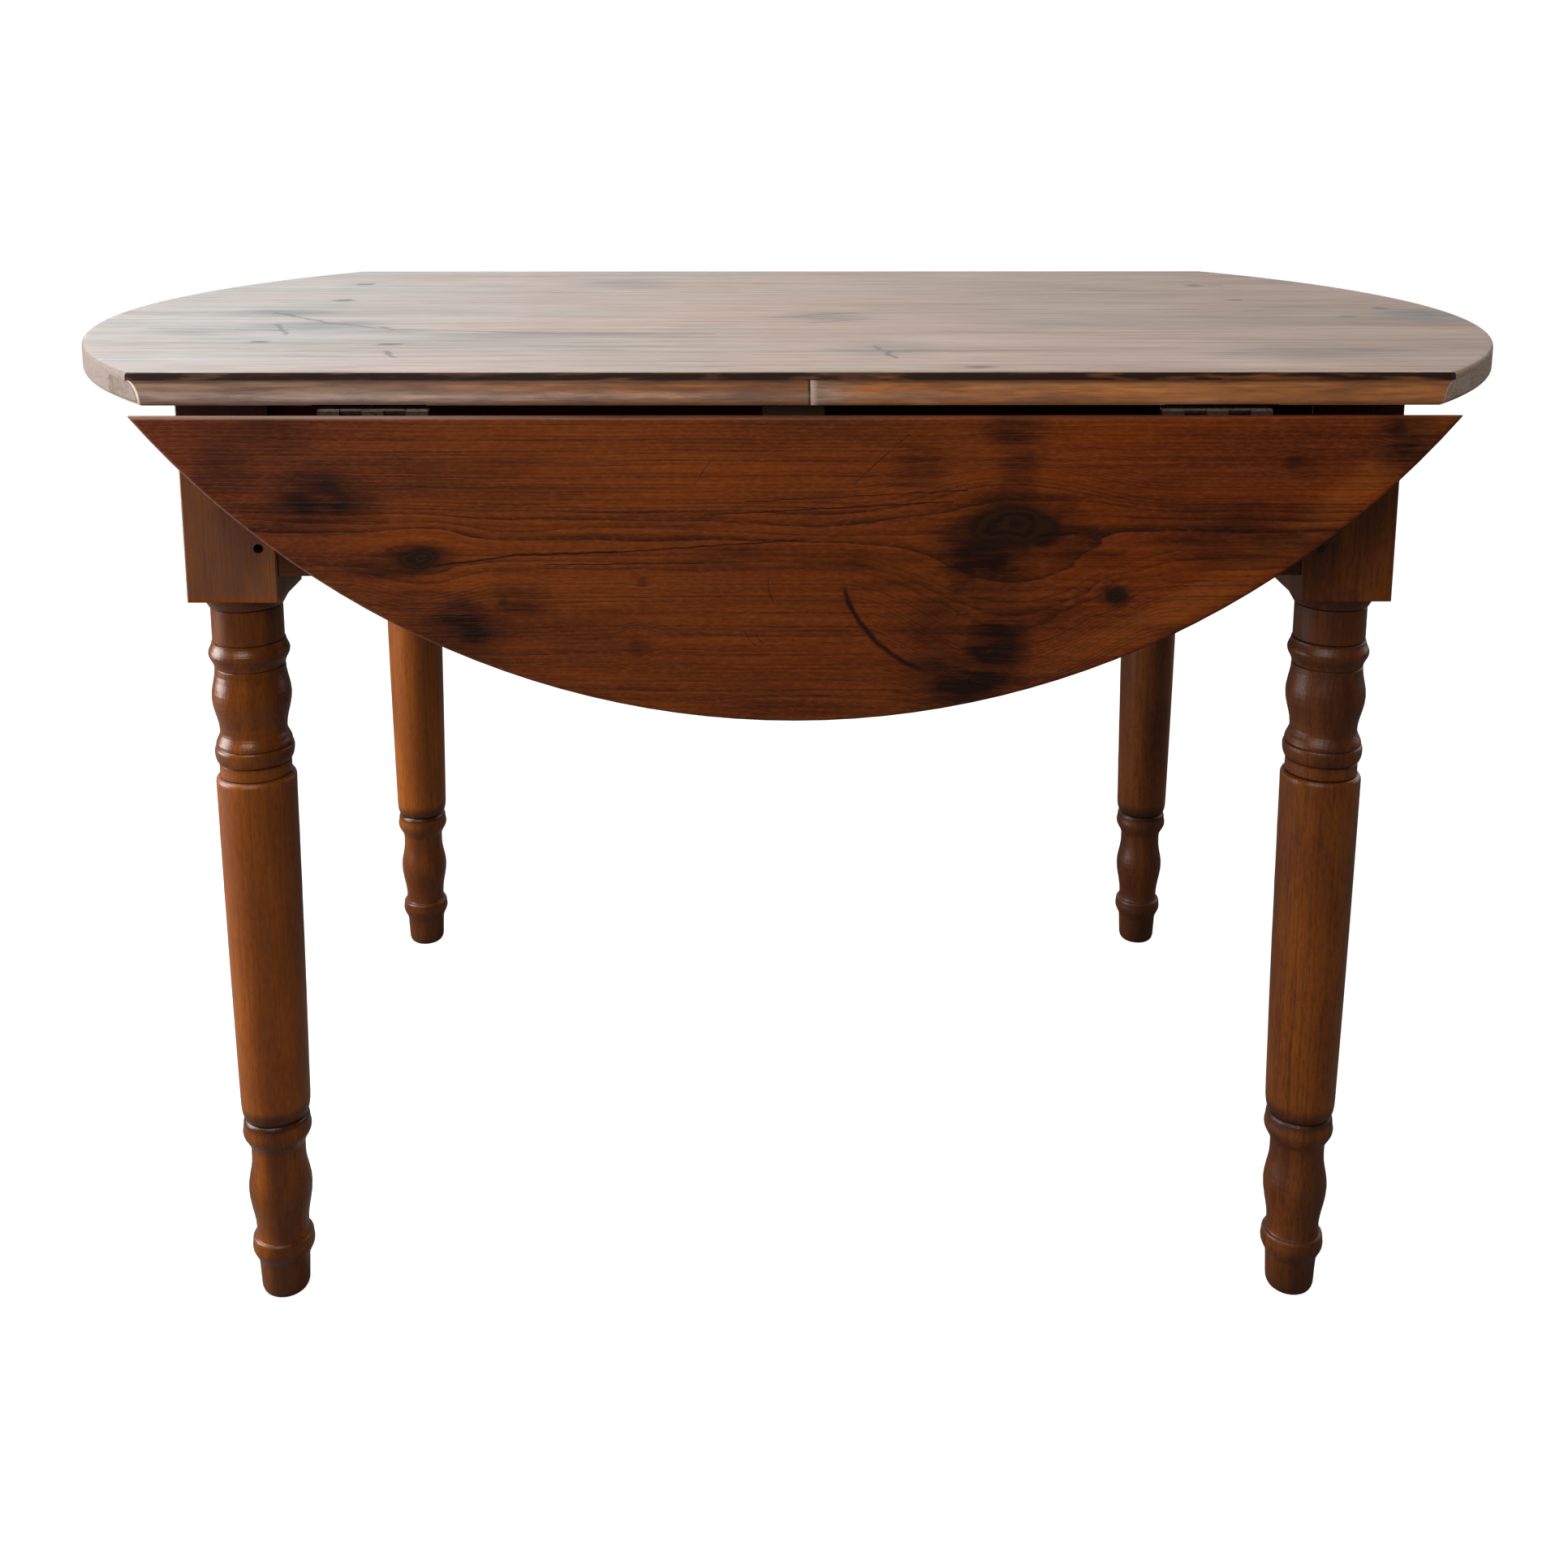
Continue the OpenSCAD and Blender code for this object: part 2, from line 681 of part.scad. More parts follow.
// A leaf, drawn raised at the front: a slice of the round top with a cove round the hinge pin
module raised_leaf() {
  y = -joint_y - joint_gap;
  r = leaf_edge_round;
  difference() {
    intersection() {
      translate([leaf_shift, 0, 0]) round_board(leaf_r);
      along_x(-top_r, top_r) polygon(concat(
        [[-top_r - past, under_z], [y, under_z]],
        corner(y - r, table_h - r, r, 0, 90),
        [[-top_r - past, table_h]]
      ));
    }
    translate([-top_r, -joint_y, pin_z]) rotate([0, 90, 0]) cylinder(r = cove_r, h = 2 * top_r);
    leaf_plate_screw_shapes();
  }
}

module front_leaf() { color(LEAF_WOOD) hanging(FRONT) raised_leaf(); }
module back_leaf() { color(LEAF_WOOD) hanging(BACK) raised_leaf(); }

// Knuckle k of a hinge, from 0 to knuckles - 1, as a span along X
function knuckle_span(k) = [
  -hinge_l / 2 + k * hinge_l / knuckles + (k == 0 ? 0 : knuckle_gap / 2),
  -hinge_l / 2 + (k + 1) * hinge_l / knuckles - (k == knuckles - 1 ? 0 : knuckle_gap / 2)
];

// A hinge plate with its knuckles. The origin is the pin's axis and the plate reaches towards +Y.
// Even knuckles belong to the leaf's plate and odd ones to the table's, whose pin hole is tight.
module hinge_plate(w, parity, bore_d) {
  difference() {
    union() {
      box_between(
        [-hinge_l / 2, knuckle_d / 2 + plate_clear, pin_drop - plate_t], [hinge_l / 2, w, pin_drop]
      );
      for (k = [parity : 2 : knuckles - 1]) {
        s = knuckle_span(k);
        translate([s[0], 0, 0]) rotate([0, 90, 0]) cylinder(d = knuckle_d, h = s[1] - s[0]);
        box_between([s[0], 0, pin_drop - plate_t], [s[1], w, pin_drop]);
        box_between([s[0], 0, 0], [s[1], knuckle_d / 2, pin_drop]);
      }
    }
    translate([-hinge_l / 2 - past, 0, 0]) rotate([0, 90, 0])
      cylinder(d = bore_d, h = hinge_l + 2 * past);
  }
}

module table_plate(sx, side) {
  color(HINGE_STEEL) on_side(side) difference() {
    translate([hinge_at(sx), -joint_y, pin_z]) hinge_plate(table_plate_w, 1, pin_d);
    table_plate_screw_shapes();
  }
}

module leaf_plate(sx, side) {
  color(HINGE_STEEL) hanging(side) difference() {
    translate([hinge_at(sx), -joint_y, pin_z]) mirror([0, 1, 0])
      hinge_plate(leaf_plate_w, 0, pin_d + 2 * pin_gap);
    leaf_plate_screw_shapes();
  }
}

module hinge_pin(sx, side) {
  color(HINGE_STEEL) translate([hinge_at(sx) - hinge_l / 2, side * joint_y, pin_z])
    rotate([0, 90, 0]) cylinder(d = pin_d, h = hinge_l);
}

module hinge_plate_front_left() { table_plate(LEFT, FRONT); }
module hinge_plate_front_right() { table_plate(RIGHT, FRONT); }
module hinge_plate_back_left() { table_plate(LEFT, BACK); }
module hinge_plate_back_right() { table_plate(RIGHT, BACK); }
module leaf_plate_front_left() { leaf_plate(LEFT, FRONT); }
module leaf_plate_front_right() { leaf_plate(RIGHT, FRONT); }
module leaf_plate_back_left() { leaf_plate(LEFT, BACK); }
module leaf_plate_back_right() { leaf_plate(RIGHT, BACK); }
module hinge_pin_front_left() { hinge_pin(LEFT, FRONT); }
module hinge_pin_front_right() { hinge_pin(RIGHT, FRONT); }
module hinge_pin_back_left() { hinge_pin(LEFT, BACK); }
module hinge_pin_back_right() { hinge_pin(RIGHT, BACK); }

module table_hinge_screws() {
  color(SCREW_STEEL) for (side = [FRONT, BACK]) on_side(side) table_plate_screw_shapes();
}

module front_leaf_hinge_screws() { color(SCREW_STEEL) hanging(FRONT) leaf_plate_screw_shapes(); }
module back_leaf_hinge_screws() { color(SCREW_STEEL) hanging(BACK) leaf_plate_screw_shapes(); }

// The pin that stops a loper at the keeper, or its hole
module stop_pin_shape() {
  translate([loper_x, -stop_pin_y, loper_low - stop_pin_drop])
    cylinder(d = stop_pin_d, h = stop_pin_drop + stop_pin_in);
}

// A loper pushed in, at the front, with its nose bevelled on top
module loper(side) {
  color(INSIDE_WOOD) on_side(side) difference() {
    along_x(loper_x - loper_w / 2, loper_x + loper_w / 2) polygon([
      [-tail_y, loper_low], [-tail_y, loper_top], [nose_l - nose_y, loper_top],
      [-nose_y, loper_top - nose_h], [-nose_y, loper_low]
    ]);
    stop_pin_shape();
  }
}

module front_loper() { loper(FRONT); }
module back_loper() { loper(BACK); }
module front_loper_stop_pin() { color(INSIDE_WOOD) stop_pin_shape(); }
module back_loper_stop_pin() { color(INSIDE_WOOD) on_side(BACK) stop_pin_shape(); }

// The two battens that the lopers run between
module loper_runner(side) {
  color(INSIDE_WOOD) difference() {
    translate([loper_x + side * (channel_w + runner_t) / 2, 0, (channel_low + under_z) / 2])
      cube([runner_t, 2 * apron_in_y, under_z - channel_low], center = true);
    runner_screw_shapes();
    keeper_screw_shapes();
  }
}

module loper_runner_left() { loper_runner(LEFT); }
module loper_runner_right() { loper_runner(RIGHT); }

module keeper_screw_shapes() {
  for (sx = [LEFT, RIGHT], sy = [FRONT, BACK])
    translate([
      loper_x + sx * (channel_w + runner_t) / 2, sy * (keeper_y + keeper_l / 2), channel_low - keeper_t
    ])
      screw(wood_screw_d, keeper_t + wood_screw_grip, wood_screw_d);
}

// The strap that carries a loper between the runners
module loper_keeper(side) {
  w = channel_w / 2 + runner_t;
  color(INSIDE_WOOD) on_side(side) difference() {
    box_between(
      [loper_x - w, -keeper_y - keeper_l, channel_low - keeper_t], [loper_x + w, -keeper_y, channel_low]
    );
    keeper_screw_shapes();
  }
}

module loper_keeper_front() { loper_keeper(FRONT); }
module loper_keeper_back() { loper_keeper(BACK); }

module loper_stop_block() {
  color(INSIDE_WOOD) box_between(
    [loper_x - channel_w / 2, -stop_block_l / 2, channel_low],
    [loper_x + channel_w / 2, stop_block_l / 2, under_z]
  );
}

module keeper_screws() { color(SCREW_STEEL) keeper_screw_shapes(); }
module runner_screws() { color(SCREW_STEEL) runner_screw_shapes(); }
module top_screws() { color(SCREW_STEEL) top_screw_shapes(); }

// Blocks glued into the corner between an apron and the top
module long_glue_block(sx, sy) {
  color(INSIDE_WOOD) difference() {
    translate([sx * long_block_x, sy * (apron_in_y - glue_block_w / 2), under_z - glue_block_w / 2])
      cube([glue_block_l, glue_block_w, glue_block_w], center = true);
    top_screw_shapes();
  }
}

module short_glue_block(sx, sy) {
  color(INSIDE_WOOD) difference() {
    translate([sx * (apron_in_x - glue_block_w / 2), sy * short_block_y, under_z - glue_block_w / 2])
      cube([glue_block_w, glue_block_l, glue_block_w], center = true);
    top_screw_shapes();
  }
}

module glue_block_front_left() { long_glue_block(LEFT, FRONT); }
module glue_block_front_right() { long_glue_block(RIGHT, FRONT); }
module glue_block_back_left() { long_glue_block(LEFT, BACK); }
module glue_block_back_right() { long_glue_block(RIGHT, BACK); }
module glue_block_left_front() { short_glue_block(LEFT, FRONT); }
module glue_block_left_back() { short_glue_block(LEFT, BACK); }
module glue_block_right_front() { short_glue_block(RIGHT, FRONT); }
module glue_block_right_back() { short_glue_block(RIGHT, BACK); }

leg_front_left();
leg_front_right();
leg_back_left();
leg_back_right();
front_apron();
back_apron();
left_apron();
right_apron();
drawbore_pegs();
top_board_front();
top_board_middle();
top_board_back();
front_moulding_left();
front_moulding_right();
back_moulding();
front_leaf();
back_leaf();
hinge_plate_front_left();
hinge_plate_front_right();
hinge_plate_back_left();
hinge_plate_back_right();
leaf_plate_front_left();
leaf_plate_front_right();
leaf_plate_back_left();
leaf_plate_back_right();
hinge_pin_front_left();
hinge_pin_front_right();
hinge_pin_back_left();
hinge_pin_back_right();
table_hinge_screws();
front_leaf_hinge_screws();
back_leaf_hinge_screws();
front_loper();
back_loper();
front_loper_stop_pin();
back_loper_stop_pin();
loper_runner_left();
loper_runner_right();
loper_keeper_front();
loper_keeper_back();
loper_stop_block();
keeper_screws();
runner_screws();
glue_block_front_left();
glue_block_front_right();
glue_block_back_left();
glue_block_back_right();
glue_block_left_front();
glue_block_left_back();
glue_block_right_front();
glue_block_right_back();
top_screws();
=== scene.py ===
# %% [markdown]
# # An old drop-leaf table in waxed pine
#
# The table comes in as a finished frame: every board, leg, peg, hinge and screw is already a solid in
# its right place, in metres, with the floor at z = 0. What is left for Blender is what the eye meets
# first: pine that has been stained, waxed, knocked and wiped for a hundred years, and the light on it.

# %% The frame
import math

import bpy
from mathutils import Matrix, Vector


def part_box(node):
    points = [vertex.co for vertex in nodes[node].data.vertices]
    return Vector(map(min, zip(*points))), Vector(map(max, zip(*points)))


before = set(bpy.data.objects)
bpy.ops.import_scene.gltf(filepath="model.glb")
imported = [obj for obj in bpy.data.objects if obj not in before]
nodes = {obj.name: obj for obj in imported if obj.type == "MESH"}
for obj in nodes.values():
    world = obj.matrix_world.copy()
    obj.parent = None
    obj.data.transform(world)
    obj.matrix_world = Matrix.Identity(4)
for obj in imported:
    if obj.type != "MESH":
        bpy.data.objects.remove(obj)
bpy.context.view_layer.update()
MM = 0.001

# %% [markdown]
# ## Colours and nodes
#
# Colours are written as they look on a screen, in sRGB hex, and turned to the linear numbers that
# shaders count in. One small function adds a shader node, sets it and links its inputs, so that a
# finish reads as a list of steps.

# %% Colours, nodes and materials


def colour(code):
    """Turns '#RRGGBB' into linear red, green, blue and alpha."""
    parts = [int(code[i : i + 2], 16) / 255 for i in (1, 3, 5)]
    return [p / 12.92 if p <= 0.04045 else ((p + 0.055) / 1.055) ** 2.4 for p in parts] + [1.0]


def add(tree, kind, inputs=None, out=0, **settings):
    """Adds one shader node and returns one of its outputs.

    inputs maps a socket to a number, a vector, a colour code or another node's output.
    """
    node = tree.nodes.new("ShaderNode" + kind)
    for name, value in settings.items():
        setattr(node, name, value)
    for name, value in (inputs or {}).items():
        if isinstance(value, bpy.types.NodeSocket):
            tree.links.new(value, node.inputs[name])
        else:
            node.inputs[name].default_value = colour(value) if isinstance(value, str) else value
    return node.outputs[out] if node.outputs else node


def new_material(name):
    """A material with an empty node tree."""
    material = bpy.data.materials.new(name)
    material.use_nodes = True
    material.node_tree.nodes.clear()
    return material, material.node_tree


# %% [markdown]
# ## The camera
#
# The photograph was matched with a pinhole camera: a 40.7 mm lens on a 36 mm wide sensor, 1.57 m in
# front of the table's middle and 0.93 m up, tipped down 11 degrees. The picture was cut to a square
# afterwards, which leaves the lens's axis off the middle, so the camera has a shift. It is kept as
# small as the framing allows. Placing the camera by eye comes close too, but fitting it to edges
# read from the photograph also tells the real proportions.

# %% Camera
PHOTO_SIDE = 1932
FOCAL_PX = 2181.4
AXIS_PX = (952.2, 550.0)
SENSOR = 36.0
TIP_DOWN = 11.053
TURN_RIGHT = 0.211

camera_data = bpy.data.cameras.new("camera")
camera_data.sensor_width = SENSOR
camera_data.lens = SENSOR * FOCAL_PX / PHOTO_SIDE
camera_data.shift_x = (PHOTO_SIDE / 2 - AXIS_PX[0]) / PHOTO_SIDE
camera_data.shift_y = (AXIS_PX[1] - PHOTO_SIDE / 2) / PHOTO_SIDE
camera = bpy.data.objects.new("camera", camera_data)
camera.location = (-0.0170, -1.5663, 0.9326)
camera.rotation_euler = (math.radians(90 - TIP_DOWN), 0, math.radians(-TURN_RIGHT))
bpy.context.scene.collection.objects.link(camera)
bpy.context.scene.camera = camera
bpy.context.scene.view_settings.view_transform = "Standard"
print("lens:", round(camera_data.lens, 2), "shift:", camera_data.shift_x, camera_data.shift_y)

# %% [markdown]
# ## Masks and layers
#
# A finish is built like the real one, in layers: a bare colour, then stain, grain, dirt and wear laid
# over it one after another. Each layer has a mask, a number from 0 to 1 that says how strongly it is
# there. A mask is most often a measure, such as the height on a leg, stretched so that it goes from
# one number to another between two places. Several such parts multiplied together give a mark that
# is there only where all of them are.

# %% Masks and layers
EVEN = (0.0, 1.0, "LINEAR")
SOFT = "SMOOTHSTEP"


def joined(tree, operation, parts):
    """Joins parts by one operation, such as ADD or MAXIMUM.

    A part is a number, an output, or (value, low, high, at_low, at_high, kind): it goes from at_low to
    at_high while value goes from low to high. The last three may be left out, as in EVEN.
    """
    total = None
    for part in parts:
        if isinstance(part, tuple):
            value, low, high, at_low, at_high, kind = part + EVEN[len(part) - 3 :]
            sockets = {0: value, 1: low, 2: high, 3: at_low, 4: at_high}
            part = add(tree, "MapRange", sockets, interpolation_type=kind)
        total = part if total is None else add(tree, "Math", {0: total, 1: part}, operation=operation)
    return total


def mask(tree, *parts):
    """How strongly a mark is there: the product of its parts."""
    return joined(tree, "MULTIPLY", parts)


def layered(tree, base, *layers):
    """Lays colours over base, one after another. A layer is a colour and the parts of its mask."""
    for over, *parts in layers:
        amount = mask(tree, *parts)
        base = add(tree, "Mix", {0: amount, 6: base, 7: over}, out=2, data_type="RGBA")
    return base


def from_middle(tree, side, rise):
    """How far a place is from the middle of a circle, from its two offsets."""
    flat = add(tree, "CombineXYZ", {0: side, 1: rise})
    return add(tree, "VectorMath", {0: flat}, out="Value", operation="LENGTH")


# %% [markdown]
# ## Pine
#
# Pine is sawn along the trunk, so each board shows the growth rings as long lines: pale wood from
# spring, then a dark hard line from late summer. The rings are circles round the trunk's middle, the
# pith. A flat pattern of stripes would be simpler, but it would go wrong on every edge. Here each
# board gets a pith of its own, well off its face, and the distance from it is cut into rings about
# 3 to 6 mm apart. Most old pine has finer ones, which the render wouldn't show. One recipe then gives
# straight lines where the board was sawn near the quarter, wide flames where it wasn't, and arcs on
# the end grain.
#
# Before the rings are drawn, their place is bent: slowly along the grain, as a trunk bends, and
# strongly round each knot, where the wood flows past it.

# %% Where a point lies in its board


def board_place(tree, grain):
    """The point's place as along the grain, across it, through it, and all three, in metres."""
    point = add(tree, "TexCoord", out="Object")
    split = add(tree, "SeparateXYZ", {0: point}).node.outputs
    along, across, through = (split["XYZ".index(axis)] for axis in grain)
    return along, across, through, add(tree, "CombineXYZ", {0: along, 1: across, 2: through})


def cloud(tree, place, length_mm, width_mm, detail=3.0, rough=0.55):
    """Soft noise around 0.5, with patches about length_mm along the grain and width_mm across it."""
    scale = (1 / (length_mm * MM), 1 / (width_mm * MM), 1 / (width_mm * MM))
    stretched = add(tree, "VectorMath", {0: place, 1: scale}, operation="MULTIPLY")
    return add(tree, "TexNoise", {"Vector": stretched, "Scale": 1.0, "Detail": detail, "Roughness": rough})


# %% Knots push the grain aside


def spread_knots(tree, along, across, knots):
    """Moves the across place so that lines flow round the knots. Returns it with the knots' distances.

    A knot is (along, across, half length, half width, push, sag), the first four in mm. push, below 1,
    is how strongly the lines give way, and sag how many times as far they do so below the knot.
    """
    flat = add(tree, "CombineXYZ", {0: along, 1: across})
    distances, shifts = [], []
    for at_along, at_across, half_length, half_width, push, sag in knots:
        middle = (at_along * MM, at_across * MM, 0)
        away = add(tree, "VectorMath", {0: flat, 1: middle}, operation="SUBTRACT")
        size = (1 / (half_length * MM), 1 / (half_width * MM), 0)
        scaled = add(tree, "VectorMath", {0: away, 1: size}, operation="MULTIPLY")
        distances.append(add(tree, "VectorMath", {0: scaled}, out="Value", operation="LENGTH"))
        side, rise, _ = add(tree, "SeparateXYZ", {0: scaled}).node.outputs
        below = add(tree, "Math", {0: rise, 1: 0.0}, operation="MINIMUM")
        eased = add(tree, "Math", {0: below, 1: 1 / sag - 1, 2: rise}, operation="MULTIPLY_ADD")
        near = (from_middle(tree, side, eased), 0.6, 4.5, push, 0.0, SOFT)
        shifts.append(mask(tree, joined(tree, "ADD", [across, -at_across * MM]), near))
    return joined(tree, "SUBTRACT", [across] + shifts), distances


# %% Growth rings


def growth_rings(tree, place, across, through, pith, spacing, bend, crowds=(), fade=3.0):
    """0 in spring wood, rising to 1 in the dark line that ends each ring.

    pith is (across, through), spacing the way from ring to ring, and bend how far the trunk wanders,
    all in mm. Each of crowds is (low, high, number): that many more rings between two places across
    the board. A smaller fade makes wider dark lines.
    """
    # The trunk wanders slowly, and its rings ripple by up to one and a half of their own widths
    wander = cloud(tree, place, 620, 110, 2.0, 0.45)
    ripple = cloud(tree, place, 95, 16, 2.0, 0.5)
    rise = joined(tree, "ADD", [across, -pith[0] * MM])
    rise = add(tree, "Math", {0: wander, 1: bend * MM, 2: rise}, operation="MULTIPLY_ADD")
    depth = joined(tree, "ADD", [through, -pith[1] * MM])
    count = mask(tree, from_middle(tree, rise, depth), 1 / (spacing * MM))
    count = add(tree, "Math", {0: ripple, 1: 1.5, 2: count}, operation="MULTIPLY_ADD")
    for low, high, number in crowds:
        count = joined(tree, "ADD", [count, (across, low, high, number, 0.0)])
    # Not every year leaves a line as dark as the last
    year = add(tree, "TexNoise", {"W": count, "Scale": 0.37, "Detail": 2.0}, noise_dimensions="1D")
    in_ring = add(tree, "Math", {0: count}, operation="FRACT")
    line = add(tree, "Math", {0: in_ring, 1: fade}, operation="POWER")
    return mask(tree, line, (year, 0.36, 0.62, 0.25, 1.0))


# %% [markdown]
# ## Marks of a long life
#
# Knots, smears, cracks and scratches sit where the photograph shows them. A smear is a soft oval and a
# crack is the distance to a line from one place to another. Both are read through a place that noise
# has pushed about, which is what makes their edges ragged instead of drawn with a compass.

# %% Smears, cracks and specks


def ragged_place(tree, place, size_mm, push_mm):
    """The flat place along and across the grain, pushed about by noise, twice as far along it."""
    noise = {"Vector": place, "Scale": 1 / (size_mm * MM), "Detail": 4.0}
    noise = add(tree, "TexNoise", noise, out="Color")
    centred = add(tree, "VectorMath", {0: noise, 1: (0.5, 0.5, 0.5)}, operation="SUBTRACT")
    push = (2 * push_mm * MM, push_mm * MM, 0)
    pushed = add(tree, "VectorMath", {0: centred, 1: push}, operation="MULTIPLY")
    flat = add(tree, "VectorMath", {0: place, 1: (1, 1, 0)}, operation="MULTIPLY")
    return add(tree, "VectorMath", {0: flat, 1: pushed}, operation="ADD")


def smear(tree, flat, middle, half_sizes, strength):
    """A soft oval with its middle and half sizes in mm along and across the grain."""
    scale = (1 / (half_sizes[0] * MM), 1 / (half_sizes[1] * MM), 0)
    scaled = add(tree, "VectorMath", {0: flat, 1: scale}, operation="MULTIPLY")
    centre = (middle[0] / half_sizes[0], middle[1] / half_sizes[1], 0)
    distance = add(tree, "VectorMath", {0: scaled, 1: centre}, out="Value", operation="DISTANCE")
    return mask(tree, (distance, 0.2, 1.15, strength, 0.0, SOFT))


def crack(tree, flat, start, end, half_width):
    """A thin line between two places in mm. The foot is the line's nearest point."""
    origin = (start[0] * MM, start[1] * MM, 0)
    run = ((end[0] - start[0]) * MM, (end[1] - start[1]) * MM, 0)
    square = run[0] ** 2 + run[1] ** 2
    away = add(tree, "VectorMath", {0: flat, 1: origin}, operation="SUBTRACT")
    share = add(tree, "VectorMath", {0: away, 1: run}, out="Value", operation="DOT_PRODUCT")
    share = add(tree, "Math", {0: share, 1: 1 / square}, operation="MULTIPLY", use_clamp=True)
    foot = add(tree, "VectorMath", {0: run, "Scale": share}, operation="SCALE")
    distance = add(tree, "VectorMath", {0: away, 1: foot}, out="Value", operation="DISTANCE")
    return mask(tree, (distance, 0.4 * half_width * MM, 1.6 * half_width * MM, 1.0, 0.0))


def specks(tree, place, cell_mm, radius_mm, long=1.0):
    """Scattered small dots, about one in every second cell of cell_mm. long stretches them with the grain."""
    scale = (1 / (cell_mm * long * MM), 1 / (cell_mm * MM), 1 / (cell_mm * MM))
    spread = add(tree, "VectorMath", {0: place, 1: scale}, operation="MULTIPLY")
    cells = add(tree, "TexVoronoi", {"Vector": spread, "Scale": 1.0}).node.outputs
    chance = add(tree, "SeparateXYZ", {0: cells["Color"]})
    size = mask(tree, (chance, 0.45, 1.0, 0.0, radius_mm / cell_mm))
    return add(tree, "Math", {0: cells["Distance"], 1: size}, operation="LESS_THAN")


# %% [markdown]
# Wax makes the wood a plain glossy surface over its colour, with an IOR of 1.5. How sharp the gloss is
# changes over a board, so roughness comes from a mask. The relief is what a fingertip would feel:
# raised fibres, sunk cracks and knots, and a faint step at each ring. It could be cut into the mesh,
# but it is only tenths of a millimetre deep, so bump is enough.

# %% Wax over wood


def waxed(tree, base, roughness, height, depth_mm, specular):
    """The colour, its gloss and its fine relief on one Principled shader.

    specular is 0.5 for clean wax, and less where it is thin and dull.
    """
    bump = add(tree, "Bump", {"Strength": 1.0, "Distance": depth_mm * MM, "Height": height})
    sockets = {"Base Color": base, "Roughness": roughness, "Normal": bump}
    sockets.update({"IOR": 1.5, "Specular IOR Level": specular})
    add(tree, "OutputMaterial", {0: add(tree, "BsdfPrincipled", sockets)})


# %% [markdown]
# ## Stained pine of the leaves
#
# The leaves were stained a deep red-brown and waxed. They never met the sun and the scrubbing brush
# that the top did, so the stain is whole. The front leaf has a large dark knot right of the middle, a
# smaller one at the left with a drying crack running out of it, dark smears, and a curved scratch. Its
# rounded edges are rubbed pale, and painted paler still at the left as a painted highlight of the
# window's light. Painting all that on a picture would be quicker, but a list of places in millimetres
# stays sharp from near by, and is easy to correct.

# %% Marks of the front leaf in mm, along x and up z
# A knot is its place, its half sizes, how far it pushes the grain aside, and its sag.
# A smear is its middle, its half sizes and its strength. A crack is its two ends and its half width.
LEAF_KNOTS = (
    (152, 648, 27, 15, 0.82, 2.6),
    (-253, 625, 13, 7, 0.75, 1.6),
    (224, 598, 7, 5, 0.7, 1.0),
    (-105.5, 561.5, 4.5, 5, 0.7, 1.0),
    (-198, 594, 2.5, 2.5, 0.5, 1.0),
    (-102.5, 608, 3, 2.5, 0.5, 1.0),
    (412, 713, 4, 4, 0.6, 1.0),
    (341, 692, 4, 3.5, 0.6, 1.0),
)
PLAIN_KNOTS = (
    (-60, 640, 17, 11, 0.8, 1.4),
    (236, 672, 6, 5, 0.7, 1.0),
    (-300, 690, 5, 4, 0.7, 1.0),
)
LEAF_SMEARS = (
    ((-320, 665), (46, 30), 0.85),
    ((-347, 657), (28, 18), 0.55),
    ((-298, 662), (28, 20), 0.55),
    ((-385, 695), (30, 28), 0.5),
    ((-356, 711), (38, 20), 0.45),
    ((-283, 616), (38, 12), 0.6),
    ((-250, 594), (42, 16), 0.4),
    ((-225, 576), (44, 32), 0.9),
    ((-193, 593), (34, 20), 0.55),
    ((-214, 685), (90, 36), 0.25),
    ((-28, 627), (64, 8), 0.4),
    ((42, 622), (70, 12), 0.45),
    ((88, 688), (27, 25), 0.35),
    ((153, 714), (30, 20), 0.65),
    ((155, 686), (20, 32), 0.55),
    ((132, 621), (44, 34), 0.9),
    ((118, 641), (30, 14), 0.65),
    ((173, 640), (16, 12), 0.95),
    ((196, 644), (26, 5), 0.6),
    ((206, 625), (48, 15), 0.4),
    ((172, 585), (42, 7), 0.5),
    ((142, 562), (30, 36), 0.95),
    ((118, 537), (58, 28), 0.95),
    ((415, 706), (30, 28), 0.75),
    ((347, 690), (20, 12), 0.45),
    ((315, 640), (90, 36), 0.55),
    ((240, 668), (60, 14), 0.3),
    ((104, 575), (42, 36), 0.5),
    ((64, 606), (60, 9), 0.4),
    ((165, 580), (50, 6), 0.45),
)
LEAF_CRACKS = (
    ((-246, 619), (-186, 627), 0.7),
    ((-186, 627), (-119, 629), 0.8),
    ((-119, 629), (4, 637), 0.5),
    ((-170, 620), (-60, 621), 0.35),
    ((-60, 655), (110, 664), 0.45),
    ((-30, 664), (120, 672), 0.35),
    ((170, 640), (196, 642), 0.8),
    ((-33, 573), (-25, 562), 0.22),
    ((-25, 571), (-19, 563), 0.22),
    ((-66, 676), (-56, 692), 0.25),
    ((42, 676), (80, 711), 0.3),
    ((-16, 610), (-13, 592), 0.25),
)
SCRATCH_CENTRE = (122.5, 628.9)
SCRATCH_RADIUS = 90.0
# More rings crowd together in two bands of the board. Their heights are in metres.
LEAF_CROWDS = ((0.657, 0.725, 16), (0.530, 0.612, 14))
print("marks on the leaf:", len(LEAF_KNOTS), len(LEAF_SMEARS), len(LEAF_CRACKS))

# %% The leaf's round edge, from the frame
LEAF_RADIUS = 0.580
LEAF_MIDDLE_X = 0.003
# How far the outer face stands from the table's middle
LEAF_FACE_MM = 389.5
# Going inward, the wax ends between these two distances from the table's middle
DRY_INNER_Y = (0.3735, 0.3695)
# Between these heights begins the lip that meets the moulding
LEAF_LIP_Z = (0.7206, 0.7223)
ARC_CENTRE_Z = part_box("front_leaf")[0][2] + LEAF_RADIUS

# %% The stain of a leaf


